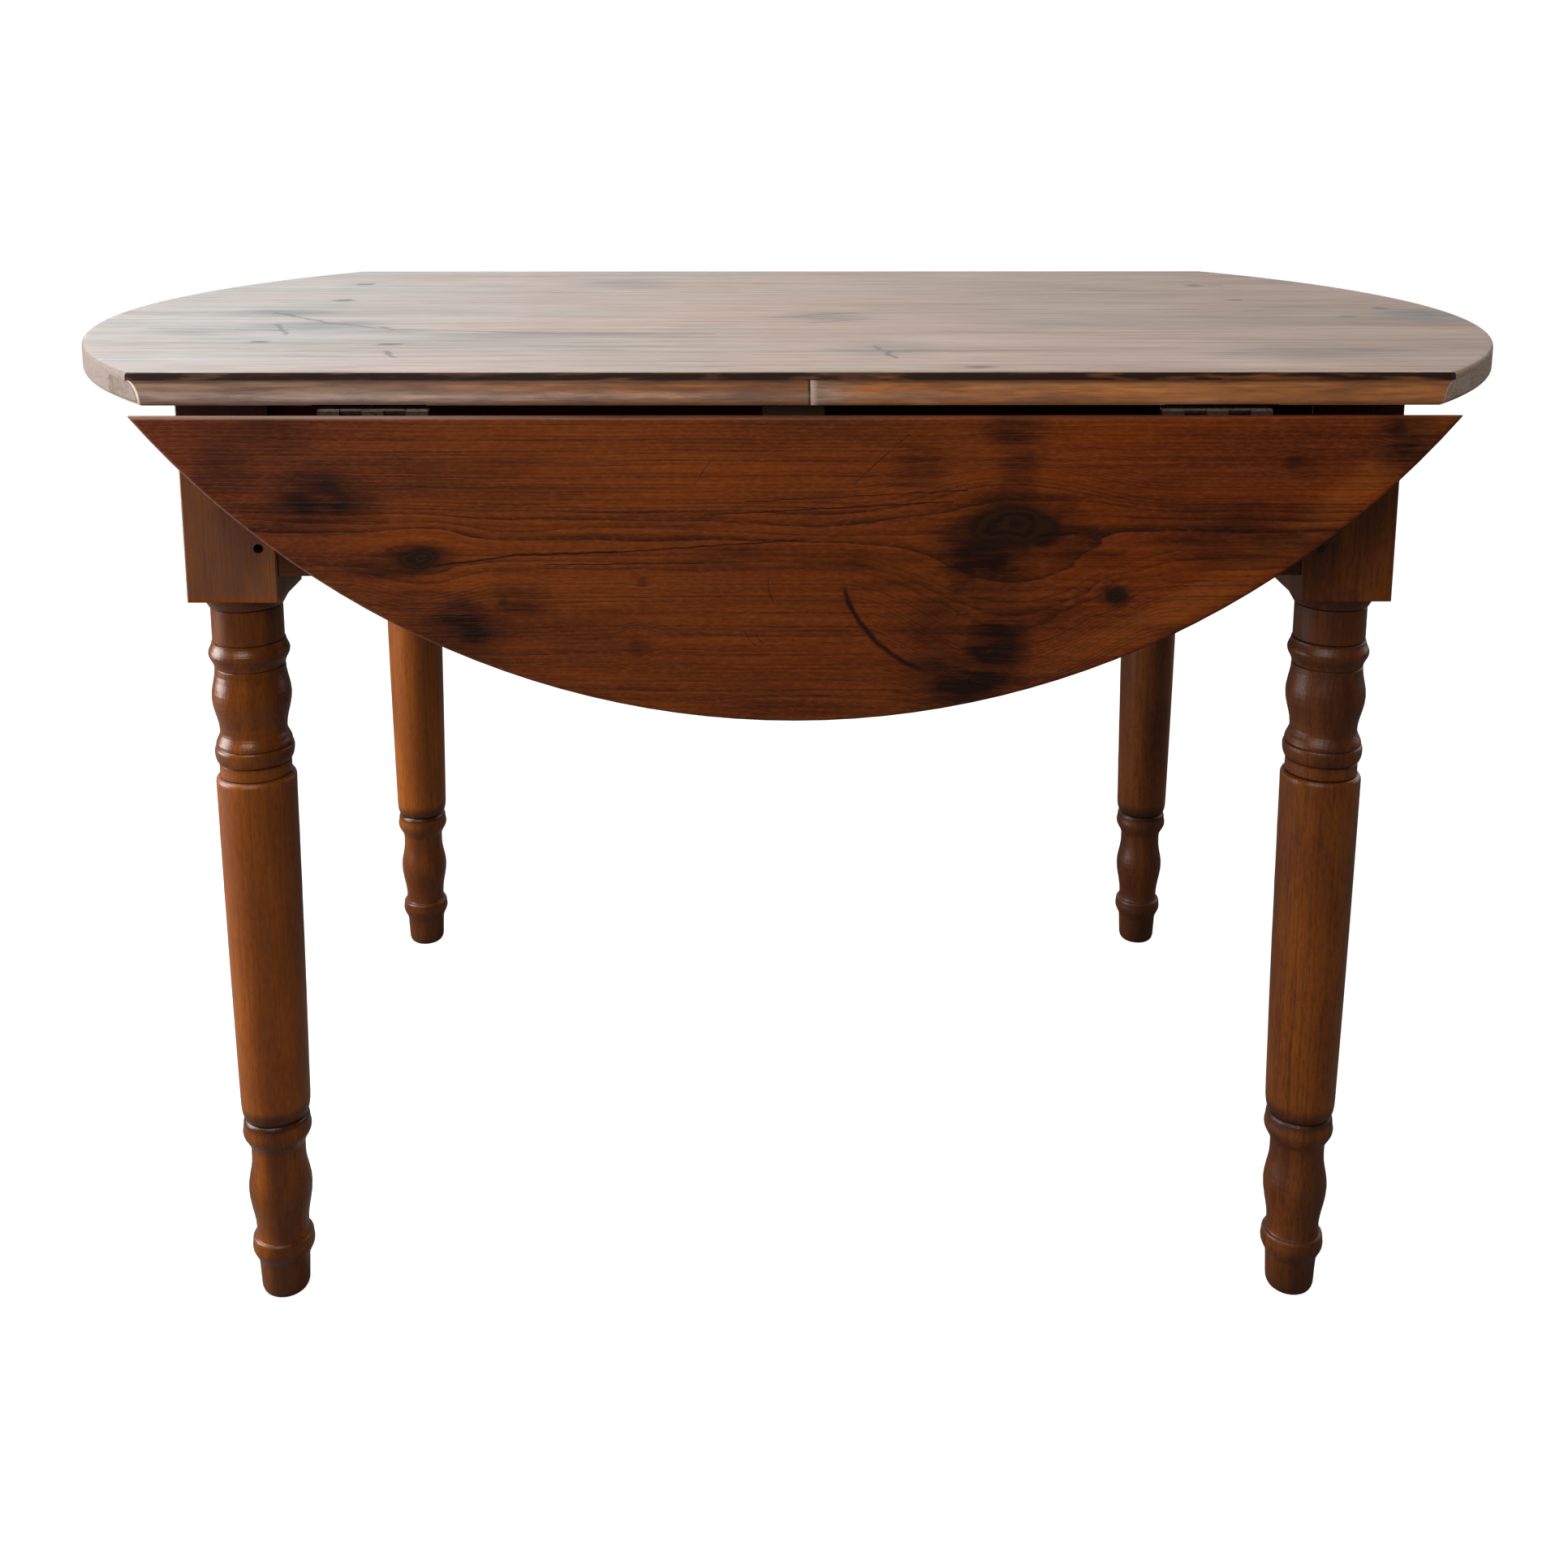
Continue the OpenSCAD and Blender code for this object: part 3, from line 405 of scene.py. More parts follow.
def leaf_stain(tree, place, along, across, moved, radius, rings, patches, grain, fibres):
    """Redder at the left, brown in the middle, deeper low down, and more orange high on the right.

    The band of sapwood follows the round edge, and the rings are plainest in the board's middle.
    Places are in metres. Noise lies round 0.5, so (patches, 0.38, 0.66) is where the patches are high.
    """
    mottle = cloud(tree, place, 5, 2.0, 2.0)
    wide = mask(tree, (moved, 0.610, 0.626), (moved, 0.668, 0.654))
    return layered(
        tree,
        "#682E16",
        ("#863F0A", (along, -0.4, -0.2)),
        ("#773507", (along, -0.14, 0.0)),
        ("#7E3403", (along, 0.12, 0.28)),
        ("#3E1606", (across, 0.65, 0.56, 0.0, 0.25)),
        ("#3E1606", (patches, 0.38, 0.66, 0.0, 0.55)),
        ("#8E4A16", (radius, 0.548, 0.558), (radius, 0.577, 0.570), (along, 0.14, 0.26, 0.0, 0.55)),
        ("#200902", rings, (patches, 0.35, 0.6, 0.75, 1.0), (wide, 0.0, 1.0, 0.68, 1.15)),
        ("#351306", (grain, 0.5, 0.72, 0.0, 0.35)),
        ("#95501A", (grain, 0.5, 0.3, 0.0, 0.12)),
        ("#240B03", (fibres, 0.52, 0.75, 0.0, 0.5)),
        ("#220A03", (mottle, 0.5, 0.7, 0.0, 0.18)),
        ("#A4602C", (mottle, 0.5, 0.3, 0.0, 0.12)),
    )


# %% Knots of the leaf


def drawn_knots(tree, place, base, distances, large):
    """Darkens the knots. The first ones, large in number, also get a heart. Returns colour and hearts."""
    ragged = (cloud(tree, place, 22, 18, 2.0), 0.3, 0.7, -0.25, 0.25)
    hearts = []
    for number, distance in enumerate(distances):
        edge = joined(tree, "ADD", [distance, ragged])
        depth = 0.8 if number < large else 0.45
        base = layered(tree, base, ("#220C04", (edge, 0.7, 2.2, depth, 0.0, SOFT)))
        if number < large:
            turns = add(tree, "Math", {0: mask(tree, edge, 15.0)}, operation="SINE")
            tone = layered(tree, "#29180A", ("#180B05", (turns, -1.0, 1.0)))
            hearts.append(mask(tree, (edge, 0.7, 1.3, 0.9, 0.0, SOFT)))
            base = layered(tree, base, (tone, hearts[-1]))
    return base, hearts


# %% The curved scratch of the front leaf


def scratch(tree, flat, along, across):
    """A piece of a circle's line, cut off above and at the right."""
    middle = (SCRATCH_CENTRE[0] * MM, SCRATCH_CENTRE[1] * MM, 0)
    away = add(tree, "VectorMath", {0: flat, 1: middle}, out="Value", operation="DISTANCE")
    away = joined(tree, "ADD", [away, -SCRATCH_RADIUS * MM])
    away = add(tree, "Math", {0: away}, operation="ABSOLUTE")
    return mask(tree, (away, 0.8 * MM, 2.6 * MM, 1.0, 0.0), (along, 0.098, 0.085), (across, 0.606, 0.600))


# %% Rubbed edges of a leaf, with a painted highlight


def rubbed_and_lit_edges(tree, base, along, across, radius, grain):
    """Rubs the colour pale along the round edge and the lip under the top, paler at the left: painted
    highlight.
    """
    rub = mask(tree, (grain, 0.35, 0.6, 0.3, 0.8))
    # Paler at the left than at the right: rubbed wear with a painted highlight of the window's light
    edge_wear_and_highlight = layered(tree, "#84604E", ("#4E2A16", (along, -0.35, 0.1)))
    lip_wear_and_highlight = layered(tree, "#A08878", ("#42281A", (along, -0.44, -0.12)), ("#33180B", (along, -0.05, 0.35)))
    on_edge = (radius, LEAF_RADIUS - 0.0022, LEAF_RADIUS - 0.0004)
    return layered(tree, base, (edge_wear_and_highlight, on_edge, rub), (lip_wear_and_highlight, (across, *LEAF_LIP_Z), rub))


# %% Leaf finish


def stained_pine(name, leaf_sign, knots, large, marked):
    """The stained board of one leaf. leaf_sign is -1 for the front leaf and 1 for the back one.

    The first of its knots, large in number, have hearts. A marked leaf has smears, cracks and a scratch.
    """
    material, tree = new_material(name)
    along, across, through, place = board_place(tree, "XZY")
    moved, distances = spread_knots(tree, along, across, knots)
    pith = (1700, leaf_sign * LEAF_FACE_MM)
    rings = growth_rings(tree, place, moved, through, pith, 6.4, bend=50, crowds=LEAF_CROWDS, fade=1.7)
    fibres = cloud(tree, place, 60, 1.3)
    grain = cloud(tree, place, 260, 3.6, 2.0)
    patches = cloud(tree, place, 190, 34, 4.0)
    side = joined(tree, "ADD", [along, -LEAF_MIDDLE_X])
    rise = joined(tree, "ADD", [across, -ARC_CENTRE_Z])
    radius = from_middle(tree, side, rise)

    base = leaf_stain(tree, place, along, across, moved, radius, rings, patches, grain, fibres)
    if marked:
        flat = ragged_place(tree, place, size_mm=24, push_mm=13)
        dark = joined(tree, "MAXIMUM", [smear(tree, flat, *one) for one in LEAF_SMEARS])
        broken = (cloud(tree, place, 36, 9, 4.0), 0.36, 0.6, 0.64, 1.25)
        base = layered(tree, base, ("#1C0904", dark, broken, (fibres, 0.3, 0.62, 0.72, 1.1)))
    base, hearts = drawn_knots(tree, place, base, distances, large)
    relief = [mask(tree, rings, 0.3)] + [mask(tree, heart, 0.4) for heart in hearts]
    if marked:
        fine = ragged_place(tree, place, size_mm=9, push_mm=2.2)
        cuts = [crack(tree, fine, *one) for one in LEAF_CRACKS]
        cut = joined(tree, "MAXIMUM", cuts + [scratch(tree, fine, along, across)])
        base = layered(tree, base, ("#140703", cut, 0.88))
        relief.append(mask(tree, cut, 0.4))

    # The inner face was never waxed: duller in colour and dry
    outward = mask(tree, through, leaf_sign)
    inner = mask(tree, (outward, *DRY_INNER_Y))
    dark_specks = specks(tree, place, 27, 1.1, 1.5)
    pale_specks = specks(tree, place, 48, 0.9)
    base = layered(tree, base, ("#140804", dark_specks, 0.8), ("#B79F88", pale_specks, 0.7))
    base = rubbed_and_lit_edges(tree, base, along, across, radius, grain)
    base = layered(tree, base, ("#4E3420", inner, 0.45))
    sunk = joined(tree, "ADD", relief)
    height = add(tree, "Math", {0: sunk, 1: -1.0, 2: mask(tree, fibres, 0.6)}, operation="MULTIPLY_ADD")
    dry = mask(tree, inner, 0.85)
    dry_edge = (radius, LEAF_RADIUS - 0.0035, LEAF_RADIUS - 0.0015, 0.0, 0.75)
    roughness = joined(tree, "MAXIMUM", [(patches, 0.3, 0.7, 0.3, 0.4), dry, dry_edge])
    waxed(tree, base, roughness, height, depth_mm=0.25, specular=0.25)
    return material


leaf_front_pine = stained_pine("stained_pine_front_leaf", -1, LEAF_KNOTS, 3, marked=True)
leaf_back_pine = stained_pine("stained_pine_back_leaf", 1, PLAIN_KNOTS, 1, marked=False)
print("leaf finishes:", leaf_front_pine.name, leaf_back_pine.name)

# %% [markdown]
# ## Worn pine of the top
#
# The top has been scrubbed and sat at for a century. Its stain is worn thin and greyish, the dark
# ring lines show through it, and wax gives it a soft sheen that is best seen at a low angle. Ink and
# water left bluish stains with drying cracks in them. From the front the top is seen nearly edge on,
# where a real fibre can't be made out, so the finest streaks here are drawn 2.4 mm wide.
#
# The three boards could each have a finish of their own. They share one recipe instead, in which only
# the place of the pith and the warmer tone change. So the grain differs from board to board, while
# stains and cracks run on over the joints.
#
# Where the top board stands over the moulding, on a square lip 6 mm high, a century of wax and dust
# has darkened the wood, and painted shade on that face makes it nearly black.

# %% The round of the top, from the frame
TOP_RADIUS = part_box("top_board_middle")[1][0]
print("top radius:", round(TOP_RADIUS, 4))

# %% Marks of the top in mm, along x and across y
# A stain is its middle, its half sizes and its strength. Cracks and knots are listed as the leaf's are.
BLUE_STAINS = (
    ((-440, -20), (60, 34), 0.8),
    ((-385, -110), (70, 40), 0.7),
    ((-330, -150), (90, 26), 0.6),
    ((-190, -165), (170, 18), 0.55),
    ((-470, -150), (60, 26), 0.4),
    ((36, -48), (50, 46), 0.6),
    ((70, -250), (44, 60), 0.55),
    ((548, -36), (46, 66), 0.9),
    ((-160, 228), (70, 60), 0.5),
    ((400, -270), (90, 50), 0.6),
    ((230, -100), (90, 40), 0.35),
)
TOP_CRACKS = (
    ((-447, -18), (-380, -95), 2.2),
    ((-380, -95), (-318, -135), 2.0),
    ((-318, -135), (-180, -160), 2.6),
    ((-180, -160), (-60, -166), 1.8),
    ((-520, -128), (-403, -140), 1.8),
    ((-450, -130), (-403, -146), 1.6),
    ((-425, -100), (-396, -165), 1.8),
    ((-330, -118), (-318, -140), 2.0),
    ((-300, -262), (-287, -295), 1.8),
    ((64, -235), (80, -300), 1.8),
    ((-20, -60), (60, -20), 1.6),
    ((20, -95), (70, -62), 1.4),
    ((412, 205), (440, 214), 2.4),
    ((330, -20), (420, -10), 1.4),
)
TOP_KNOTS = (
    (-305, -223, 8, 5, 0.6, 1.0),
    (-408, -210, 7, 5, 0.6, 1.0),
    (131, -342, 8, 5, 0.5, 1.0),
    (-409, 79, 9, 8, 0.6, 1.0),
    (412, 211, 8, 9, 0.6, 1.0),
    (419, 78, 7, 6, 0.6, 1.0),
    (533, 13, 6, 6, 0.6, 1.0),
    (484, -48, 7, 5, 0.6, 1.0),
    (-423, 227, 8, 9, 0.6, 1.0),
)

# %% End grain


def end_grain(tree, place, along, rings):
    """The open ends of the wood: painted dark and grey at the window's end, as painted shade against its
    light, and pale brown at the other.
    """
    pores = cloud(tree, place, 2.2, 2.2, 3.0)
    return layered(
        tree,
        "#5E4E44",
        # Paler away from the window: painted shade at its end evens out its light on the ends
        ("#9C8370", (along, -0.1, 0.1)),
        ("#56443A", rings, 0.6),
        ("#4E3E34", (pores, 0.46, 0.7, 0.0, 0.8)),
    )


# %% Stains, cracks, knots and specks of the top


def marked_top(tree, place, base, distances):
    """Lays the marks over base. Returns the colour and the cracks."""
    flat = ragged_place(tree, place, size_mm=40, push_mm=22)
    edgy = ragged_place(tree, place, size_mm=20, push_mm=10)
    blue = joined(tree, "MAXIMUM", [smear(tree, flat, *one) for one in BLUE_STAINS])
    broken = (cloud(tree, place, 60, 9, 3.0), 0.36, 0.58, 0.25, 0.95)
    cuts = joined(tree, "MAXIMUM", [crack(tree, edgy, *one) for one in TOP_CRACKS])
    base = layered(tree, base, ("#60686A", blue, broken), ("#2E3236", cuts, 0.55))
    ragged = (cloud(tree, place, 14, 9, 3.0), 0.3, 0.7, -0.5, 0.5)
    for distance in distances:
        edge = joined(tree, "ADD", [distance, ragged])
        base = layered(tree, base, ("#4A3529", (edge, 0.5, 1.6, 0.75, 0.0, SOFT)))
    return layered(tree, base, ("#3E2E26", specks(tree, place, 46, 2.0, 2.2), 0.7)), cuts


# %% Rim, lip and underside of the top
# The lip's face stands beyond this y, and the top's surface begins at this z
LIP_FACE_Y = 0.3626
LIP_TOP_Z = 0.7492
# Below the second height the wood is bare
UNDERSIDE_Z = (0.7300, 0.7288)


def top_edges(tree, place, base, along, across, through, rings):
    """End grain round the rim, the lip along the joint, black with dirt and painted shade, and the bare
    underside.

    Returns the colour and the rim's mask.
    """
    rim = mask(tree, (from_middle(tree, along, across), TOP_RADIUS - 0.003, TOP_RADIUS - 0.0008))
    aside = add(tree, "Math", {0: across}, operation="ABSOLUTE")
    face = add(tree, "Math", {0: aside, 1: LIP_FACE_Y}, operation="GREATER_THAN")
    below = add(tree, "Math", {0: through, 1: LIP_TOP_Z}, operation="LESS_THAN")
    # The lip's face: dark with wax and dust, and painted shade that makes it nearly black
    smudged = layered(tree, "#5E4434", ("#744620", (along, -0.2, 0.2)))
    grime_and_shade = layered(tree, "#28140A", (smudged, (cloud(tree, place, 34, 4.0), 0.48, 0.68)))
    base = layered(
        tree,
        base,
        (end_grain(tree, place, along, rings), rim, 0.85),
        (grime_and_shade, face, below),
        ("#5B4330", (through, *UNDERSIDE_Z)),
    )
    return base, rim


# %% Top finish


def worn_pine(name, pith_across, warm):
    """A board of the fixed top, with its pith under the given place across the table."""
    material, tree = new_material(name)
    along, across, through, place = board_place(tree, "XYZ")
    moved, distances = spread_knots(tree, along, across, TOP_KNOTS)
    rings = growth_rings(tree, place, moved, through, (pith_across, 560), 5.0, bend=60)
    fine = cloud(tree, place, 70, 2.4)
    streaks = cloud(tree, place, 200, 5.0, 3.0, 0.6)
    long_streaks = cloud(tree, place, 600, 12, 2.0)
    broad = cloud(tree, place, 420, 110, 2.0)
    patches = cloud(tree, place, 150, 70, 4.0, 0.6)

    # The left end is painted greyer and paler and the right end browner: a painted sheen of the window's
    # light on the wax. The dark streaks are painted fainter at the left, where that sheen hides them
    sheen_and_patches = add(tree, "Math", {0: patches, 1: 0.35, 2: along}, operation="MULTIPLY_ADD")
    base = layered(
        tree,
        "#AFAFAE",
        (warm, (sheen_and_patches, -0.25, 0.15)),
        ("#9F8674", (sheen_and_patches, 0.2, 0.65, 0.0, 0.8)),
        ("#BEA397", (broad, 0.45, 0.72, 0.0, 0.6)),
        ("#98948A", (broad, 0.5, 0.3, 0.0, 0.5)),
        ("#5A4434", rings, 0.42),
        ("#4E3C34", (streaks, 0.54, 0.74, 0.0, 0.65), (along, -0.3, 0.3, 0.55, 1.0)),
        ("#6A5446", (long_streaks, 0.54, 0.72, 0.0, 0.4)),
        ("#DDD0C7", (streaks, 0.46, 0.3, 0.0, 0.4)),
        ("#44332A", (fine, 0.53, 0.72, 0.0, 0.6)),
    )

    base, cuts = marked_top(tree, place, base, distances)
    base, rim = top_edges(tree, place, base, along, across, through, rings)
    height = add(tree, "Math", {0: rings, 1: -0.4, 2: mask(tree, fine, 0.6)}, operation="MULTIPLY_ADD")
    height = add(tree, "Math", {0: cuts, 1: -0.6, 2: height}, operation="MULTIPLY_ADD")
    roughness = joined(tree, "MAXIMUM", [(patches, 0.3, 0.7, 0.36, 0.46), mask(tree, rim, 0.8)])
    waxed(tree, base, roughness, height, depth_mm=0.2, specular=0.5)
    return material


top_front_pine = worn_pine("worn_pine_front_board", -300, "#B09A8C")
top_middle_pine = worn_pine("worn_pine_middle_board", 10, "#B59C8C")
top_back_pine = worn_pine("worn_pine_back_board", 260, "#BAA496")
print("marks on the top:", len(BLUE_STAINS), len(TOP_CRACKS), len(TOP_KNOTS))

# %% [markdown]
# ## Stained pine of the frame
#
# The legs and aprons are stained orange-brown and waxed. Hands and feet have polished whatever stands
# proud, and dirt has settled in the grooves. Ambient occlusion, low where the surface round a point
# closes in on it, darkens the grooves: partly that dirt, partly painted shade. Up under the top the
# wood is painted nearly black, as painted shade. Grain runs up the legs.
#
# The wood that nobody sees was left bare: glue blocks, runners, keepers and lopers. It is the same
# recipe in paler tones and without gloss. Only the lopers' noses are pale: rubbed by the hands that
# pull them out, and painted paler still as painted light in the shade under the top. A recipe for each
# piece would repeat the same wood six times, so one function takes the way of the grain and three
# tones, and adds the wear and the painted light and shade that a piece has.

# %% Frame finishes
# Heights on a leg, in metres: the underside of its square block, and its taper's top and low end
BLOCK_Z = 0.579
TAPER_TOP_Z = 0.4415
TAPER_LOW_Z = 0.167
# The painted shade on the collar above the ankle, where the taper's end rounds in and faces down: it
# comes in over the first two heights and fades over the others
SHADED_COLLAR_FROM = (0.1475, 0.1500)
SHADED_COLLAR_TO = (0.166, 0.155)
# From here up the wood is painted nearly black: painted shade under the top
UNDER_TOP_SHADE_Z = 0.700
# Mops and shoes have darkened the feet up to here
SPLASH_Z = 0.055
# From here outward a loper's nose is pale: rubbed by hands, and painted light in the shade under the top
NOSE_Y = 0.33


def leg_wear_and_light(tree, base, roughness, dark, x, z, patches, mottle):
    """What tells the legs apart. Returns the colour and the roughness.

    The left legs are painted lighter and the right legs darker: painted light and shade of the window at
    the left. Greyish dust clings to the left legs' blocks. The turnings are darker than the tapers, and
    those of the left legs get more polish.
    """
    upper = mask(tree, (z, TAPER_TOP_Z, TAPER_TOP_Z + 0.006), (z, BLOCK_Z, BLOCK_Z - 0.004))
    turnings = joined(tree, "MAXIMUM", [upper, (z, TAPER_LOW_Z, TAPER_LOW_Z - 0.006)])
    dusty = mask(tree, (z, BLOCK_Z, BLOCK_Z + 0.004), (x, 0.0, -0.3))
    base = layered(
        tree,
        base,
        # Painted light on the left legs, and painted shade on the right ones
        ("#96500E", (x, 0.1, -0.35, 0.0, 0.2)),
        ("#2A1004", (x, -0.1, 0.35, 0.0, 0.2)),
        ("#2E1005", turnings, (patches, 0.35, 0.65, 0.28, 0.62)),
        ("#6E5E52", dusty, (mottle, 0.35, 0.65, 0.04, 0.3)),
        (dark, dusty, (patches, 0.35, 0.65, 0.15, 0.45)),
    )
    polish = mask(tree, turnings, (x, -0.1, 0.3, -0.06, 0.08))
    return base, joined(tree, "ADD", [roughness, polish, mask(tree, dusty, 0.15)])


def frame_pine(name, grain, pith, tones, turned=False, grimy_and_shaded=False, handled_and_lit=False, gloss=(0.27, 0.38)):
    """Stained and waxed pine for one direction of grain. tones are light, middle and dark.

    turned is for the legs, grimy_and_shaded for what ends under the top, with painted shade there and
    above the ankle and dirt on the feet, and handled_and_lit for the lopers, with their pale noses.
    """
    material, tree = new_material(name)
    light, middle, dark = tones
    along, across, through, place = board_place(tree, grain)
    x, y, z = (dict(zip(grain, (along, across, through)))[axis] for axis in "XYZ")
    rings = growth_rings(tree, place, across, through, pith, 3.0, bend=24)
    fibres = cloud(tree, place, 60, 1.0)
    grain_lines = cloud(tree, place, 240, 4.0, 2.0)
    patches = cloud(tree, place, 110, 26, 4.0)
    mottle = cloud(tree, place, 8, 2.4, 2.0)
    open_air = add(tree, "AmbientOcclusion", {"Distance": 12 * MM}, out="AO", samples=6, only_local=True)
    base = layered(
        tree,
        light,
        (middle, (patches, 0.36, 0.64)),
        (dark, rings, 0.34),
        (dark, (grain_lines, 0.52, 0.72, 0.0, 0.4)),
        (dark, (fibres, 0.52, 0.75, 0.0, 0.45)),
        (dark, (mottle, 0.5, 0.7, 0.0, 0.36)),
        (light, (mottle, 0.5, 0.3, 0.0, 0.3)),
        ("#160A05", specks(tree, place, 17, 0.9, 1.8), 0.7),
        # Dirt and painted shade where ambient occlusion finds the surface closed in
        ("#1B0B05", (open_air, 0.6, 0.96, 0.92, 0.0)),
    )
    roughness = mask(tree, (patches, 0.3, 0.7, *gloss))
    if turned:
        base, roughness = leg_wear_and_light(tree, base, roughness, dark, x, z, patches, mottle)
    if grimy_and_shaded:
        # Painted shade up under the top and on the collar above the ankle; the feet darkened by dirt
        base = layered(
            tree,
            base,
            ("#3A0C06", (z, UNDER_TOP_SHADE_Z, UNDER_TOP_SHADE_Z + 0.012, 0.0, 0.9)),
            ("#2A1608", (z, 0.0, SPLASH_Z, 0.55, 0.0)),
            ("#1E0D05", (z, *SHADED_COLLAR_FROM), (z, *SHADED_COLLAR_TO), 0.6),
        )
    if handled_and_lit:
        outward = add(tree, "Math", {0: y}, operation="ABSOLUTE")
        # The pale nose: rubbed wear, and painted light in the shade under the top
        base = layered(tree, base, ("#CDB096", (outward, NOSE_Y, NOSE_Y + 0.004, 0.0, 0.85)))
    height = add(tree, "Math", {0: rings, 1: -0.3, 2: mask(tree, fibres, 0.6)}, operation="MULTIPLY_ADD")
    waxed(tree, base, roughness, height, depth_mm=0.25, specular=0.35)
    return material


# %% The frame's woods
DRY = (0.6, 0.75)
LEG_TONES = ("#80440C", "#602D08", "#331504")
RAIL_TONES = ("#5A3210", "#45240A", "#281204")
BARE_TONES = ("#77502F", "#5F3D20", "#3E2612")
PEG_TONES = ("#3A2412", "#2A180C", "#150B06")
leg_pine = frame_pine("turned_pine_legs", "ZXY", (60, 40), LEG_TONES, turned=True, grimy_and_shaded=True)
long_apron_pine = frame_pine("pine_long_aprons", "XZY", (640, 0), RAIL_TONES, grimy_and_shaded=True)
short_apron_pine = frame_pine("pine_short_aprons", "YZX", (640, 0), RAIL_TONES, grimy_and_shaded=True)
inside_pine = frame_pine("bare_pine_inside", "YXZ", (40, 640), BARE_TONES, gloss=DRY)
loper_pine = frame_pine("rubbed_and_lit_pine_lopers", "YXZ", (40, 640), BARE_TONES, handled_and_lit=True, gloss=DRY)
peg_pine = frame_pine("pine_pegs", "YXZ", (40, 640), PEG_TONES)
print("materials so far:", len(bpy.data.materials))

# %% [markdown]
# ## The moulding
#
# The quarter round under each edge of the top is a strip of its own, which the leaf's hollow rides on.
# The front one is two lengths: the left one greyed, the right one still orange. Fingers and leaves
# have rubbed and bruised it, so its colour is patchy. It is painted dark in the corner under the lip,
# with dirt and painted shade, and darker along its lower edge. It could take the finish of the top, but
# it has been handled far more and was never scrubbed, so it has a recipe of its own.

# %% Moulding finish
# Where the two lengths meet
SEAM_X = 0.0123
# Where the dark of the corner under the lip comes in, dirt and painted shade, and that of the lower
# edge. The second is read from heights that noise has raised by about 3 mm, so its border is ragged.
CORNER_Z = (0.7415, 0.7440)
LOWER_EDGE_Z = (0.7345, 0.7315)


def moulding_pine(name, light, middle, greyed):
    """Mottled and rubbed pine. light and middle are its clear and clouded tones.

    greyed is the tone of its pale end, and the places along it where that starts to fade and is gone.
    """
    material, tree = new_material(name)
    along, across, through, place = board_place(tree, "XYZ")
    rings = growth_rings(tree, place, across, through, (-300, 700), 2.6, bend=20)
    mottle = cloud(tree, place, 40, 6, 4.0, 0.6)
    bruise = cloud(tree, place, 110, 9, 4.0, 0.6)
    fibres = cloud(tree, place, 40, 1.2)
    tone, start, end = greyed
    middle = layered(tree, middle, ("#5F4A40", (along, start, end, 0.8, 0.0)))
    light = layered(tree, light, (tone, (along, start, end, 1.0, 0.0)))
    ragged_z = add(tree, "Math", {0: mottle, 1: 0.006, 2: through}, operation="MULTIPLY_ADD")
    base = layered(
        tree,
        light,
        (middle, (mottle, 0.36, 0.64)),
        ("#4A2A16", (bruise, 0.54, 0.7, 0.0, 0.5)),
        ("#B08460", (bruise, 0.45, 0.3, 0.0, 0.4)),
        ("#3E2414", rings, 0.35),
        ("#2E1A0F", (fibres, 0.54, 0.75, 0.0, 0.5)),
        # Dirt and painted shade in the corner under the lip; darker along the lower edge
        ("#2A1710", (through, *CORNER_Z), (fibres, 0.3, 0.6, 0.6, 1.0), 0.8),
        ("#2C170D", (ragged_z, *LOWER_EDGE_Z, 0.0, 0.75)),
    )

    # The seam between the two lengths, with a pale bruise beside it
    from_seam = joined(tree, "ADD", [along, -SEAM_X])
    off_seam = add(tree, "Math", {0: from_seam}, operation="ABSOLUTE")
    base = layered(
        tree,
        base,
        ("#B39C8A", (from_seam, 0.0005, 0.0012), (from_seam, 0.006, 0.002), 0.6),
        ("#140804", (off_seam, 0.0004, 0.0012, 0.9, 0.0)),
    )

    # The round ends, and a whitish chipped arris at the left one, with a painted highlight of the window's
    # light on it
    rim_radius = from_middle(tree, along, across)
    cut = mask(tree, (rim_radius, TOP_RADIUS - 0.0006, TOP_RADIUS - 0.0003))
    arris = joined(tree, "SUBTRACT", [(rim_radius, TOP_RADIUS - 0.002, TOP_RADIUS - 0.0014), cut])
    base = layered(
        tree,
        base,
        (end_grain(tree, place, along, rings), cut, 0.9),
        ("#D8CABD", arris, (along, 0.0, -0.1), 0.9),
    )
    roughness = mask(tree, (mottle, 0.3, 0.7, 0.3, 0.5))
    height = add(tree, "Math", {0: mottle, 1: 0.8, 2: mask(tree, fibres, 0.4)}, operation="MULTIPLY_ADD")
    waxed(tree, base, roughness, height, depth_mm=0.4, specular=0.4)
    return material


GREYED_LEFT = ("#80624F", -0.3, -0.1)
GREYED_RIGHT = ("#8F7868", 0.015, 0.05)
moulding_left_pine = moulding_pine("greyed_pine_moulding", "#8A5830", "#5E3A24", GREYED_LEFT)
moulding_right_pine = moulding_pine("orange_pine_moulding", "#945C2E", "#70431F", GREYED_RIGHT)
print("moulding finishes:", moulding_left_pine.name, moulding_right_pine.name)

# %% [markdown]
# ## Iron of the hinges and screws
#
# Back-flap hinges of this age are rolled from mild steel, browned by the air. They keep a dull metal
# sheen with brown specks of rust. Where the knuckles show in the joint's gap, a band is painted pale
# as a painted highlight. One even grey would look like new iron, so the same specks change both the
# colour and the gloss. The brown skin is oxide and no metal, so Metallic stays below a half.

# %% Hinge finish
# The heights of the painted highlight on the knuckles, where they show in the gap of the joint
KNUCKLE_HIGHLIGHT_Z = (0.7230, 0.7248)


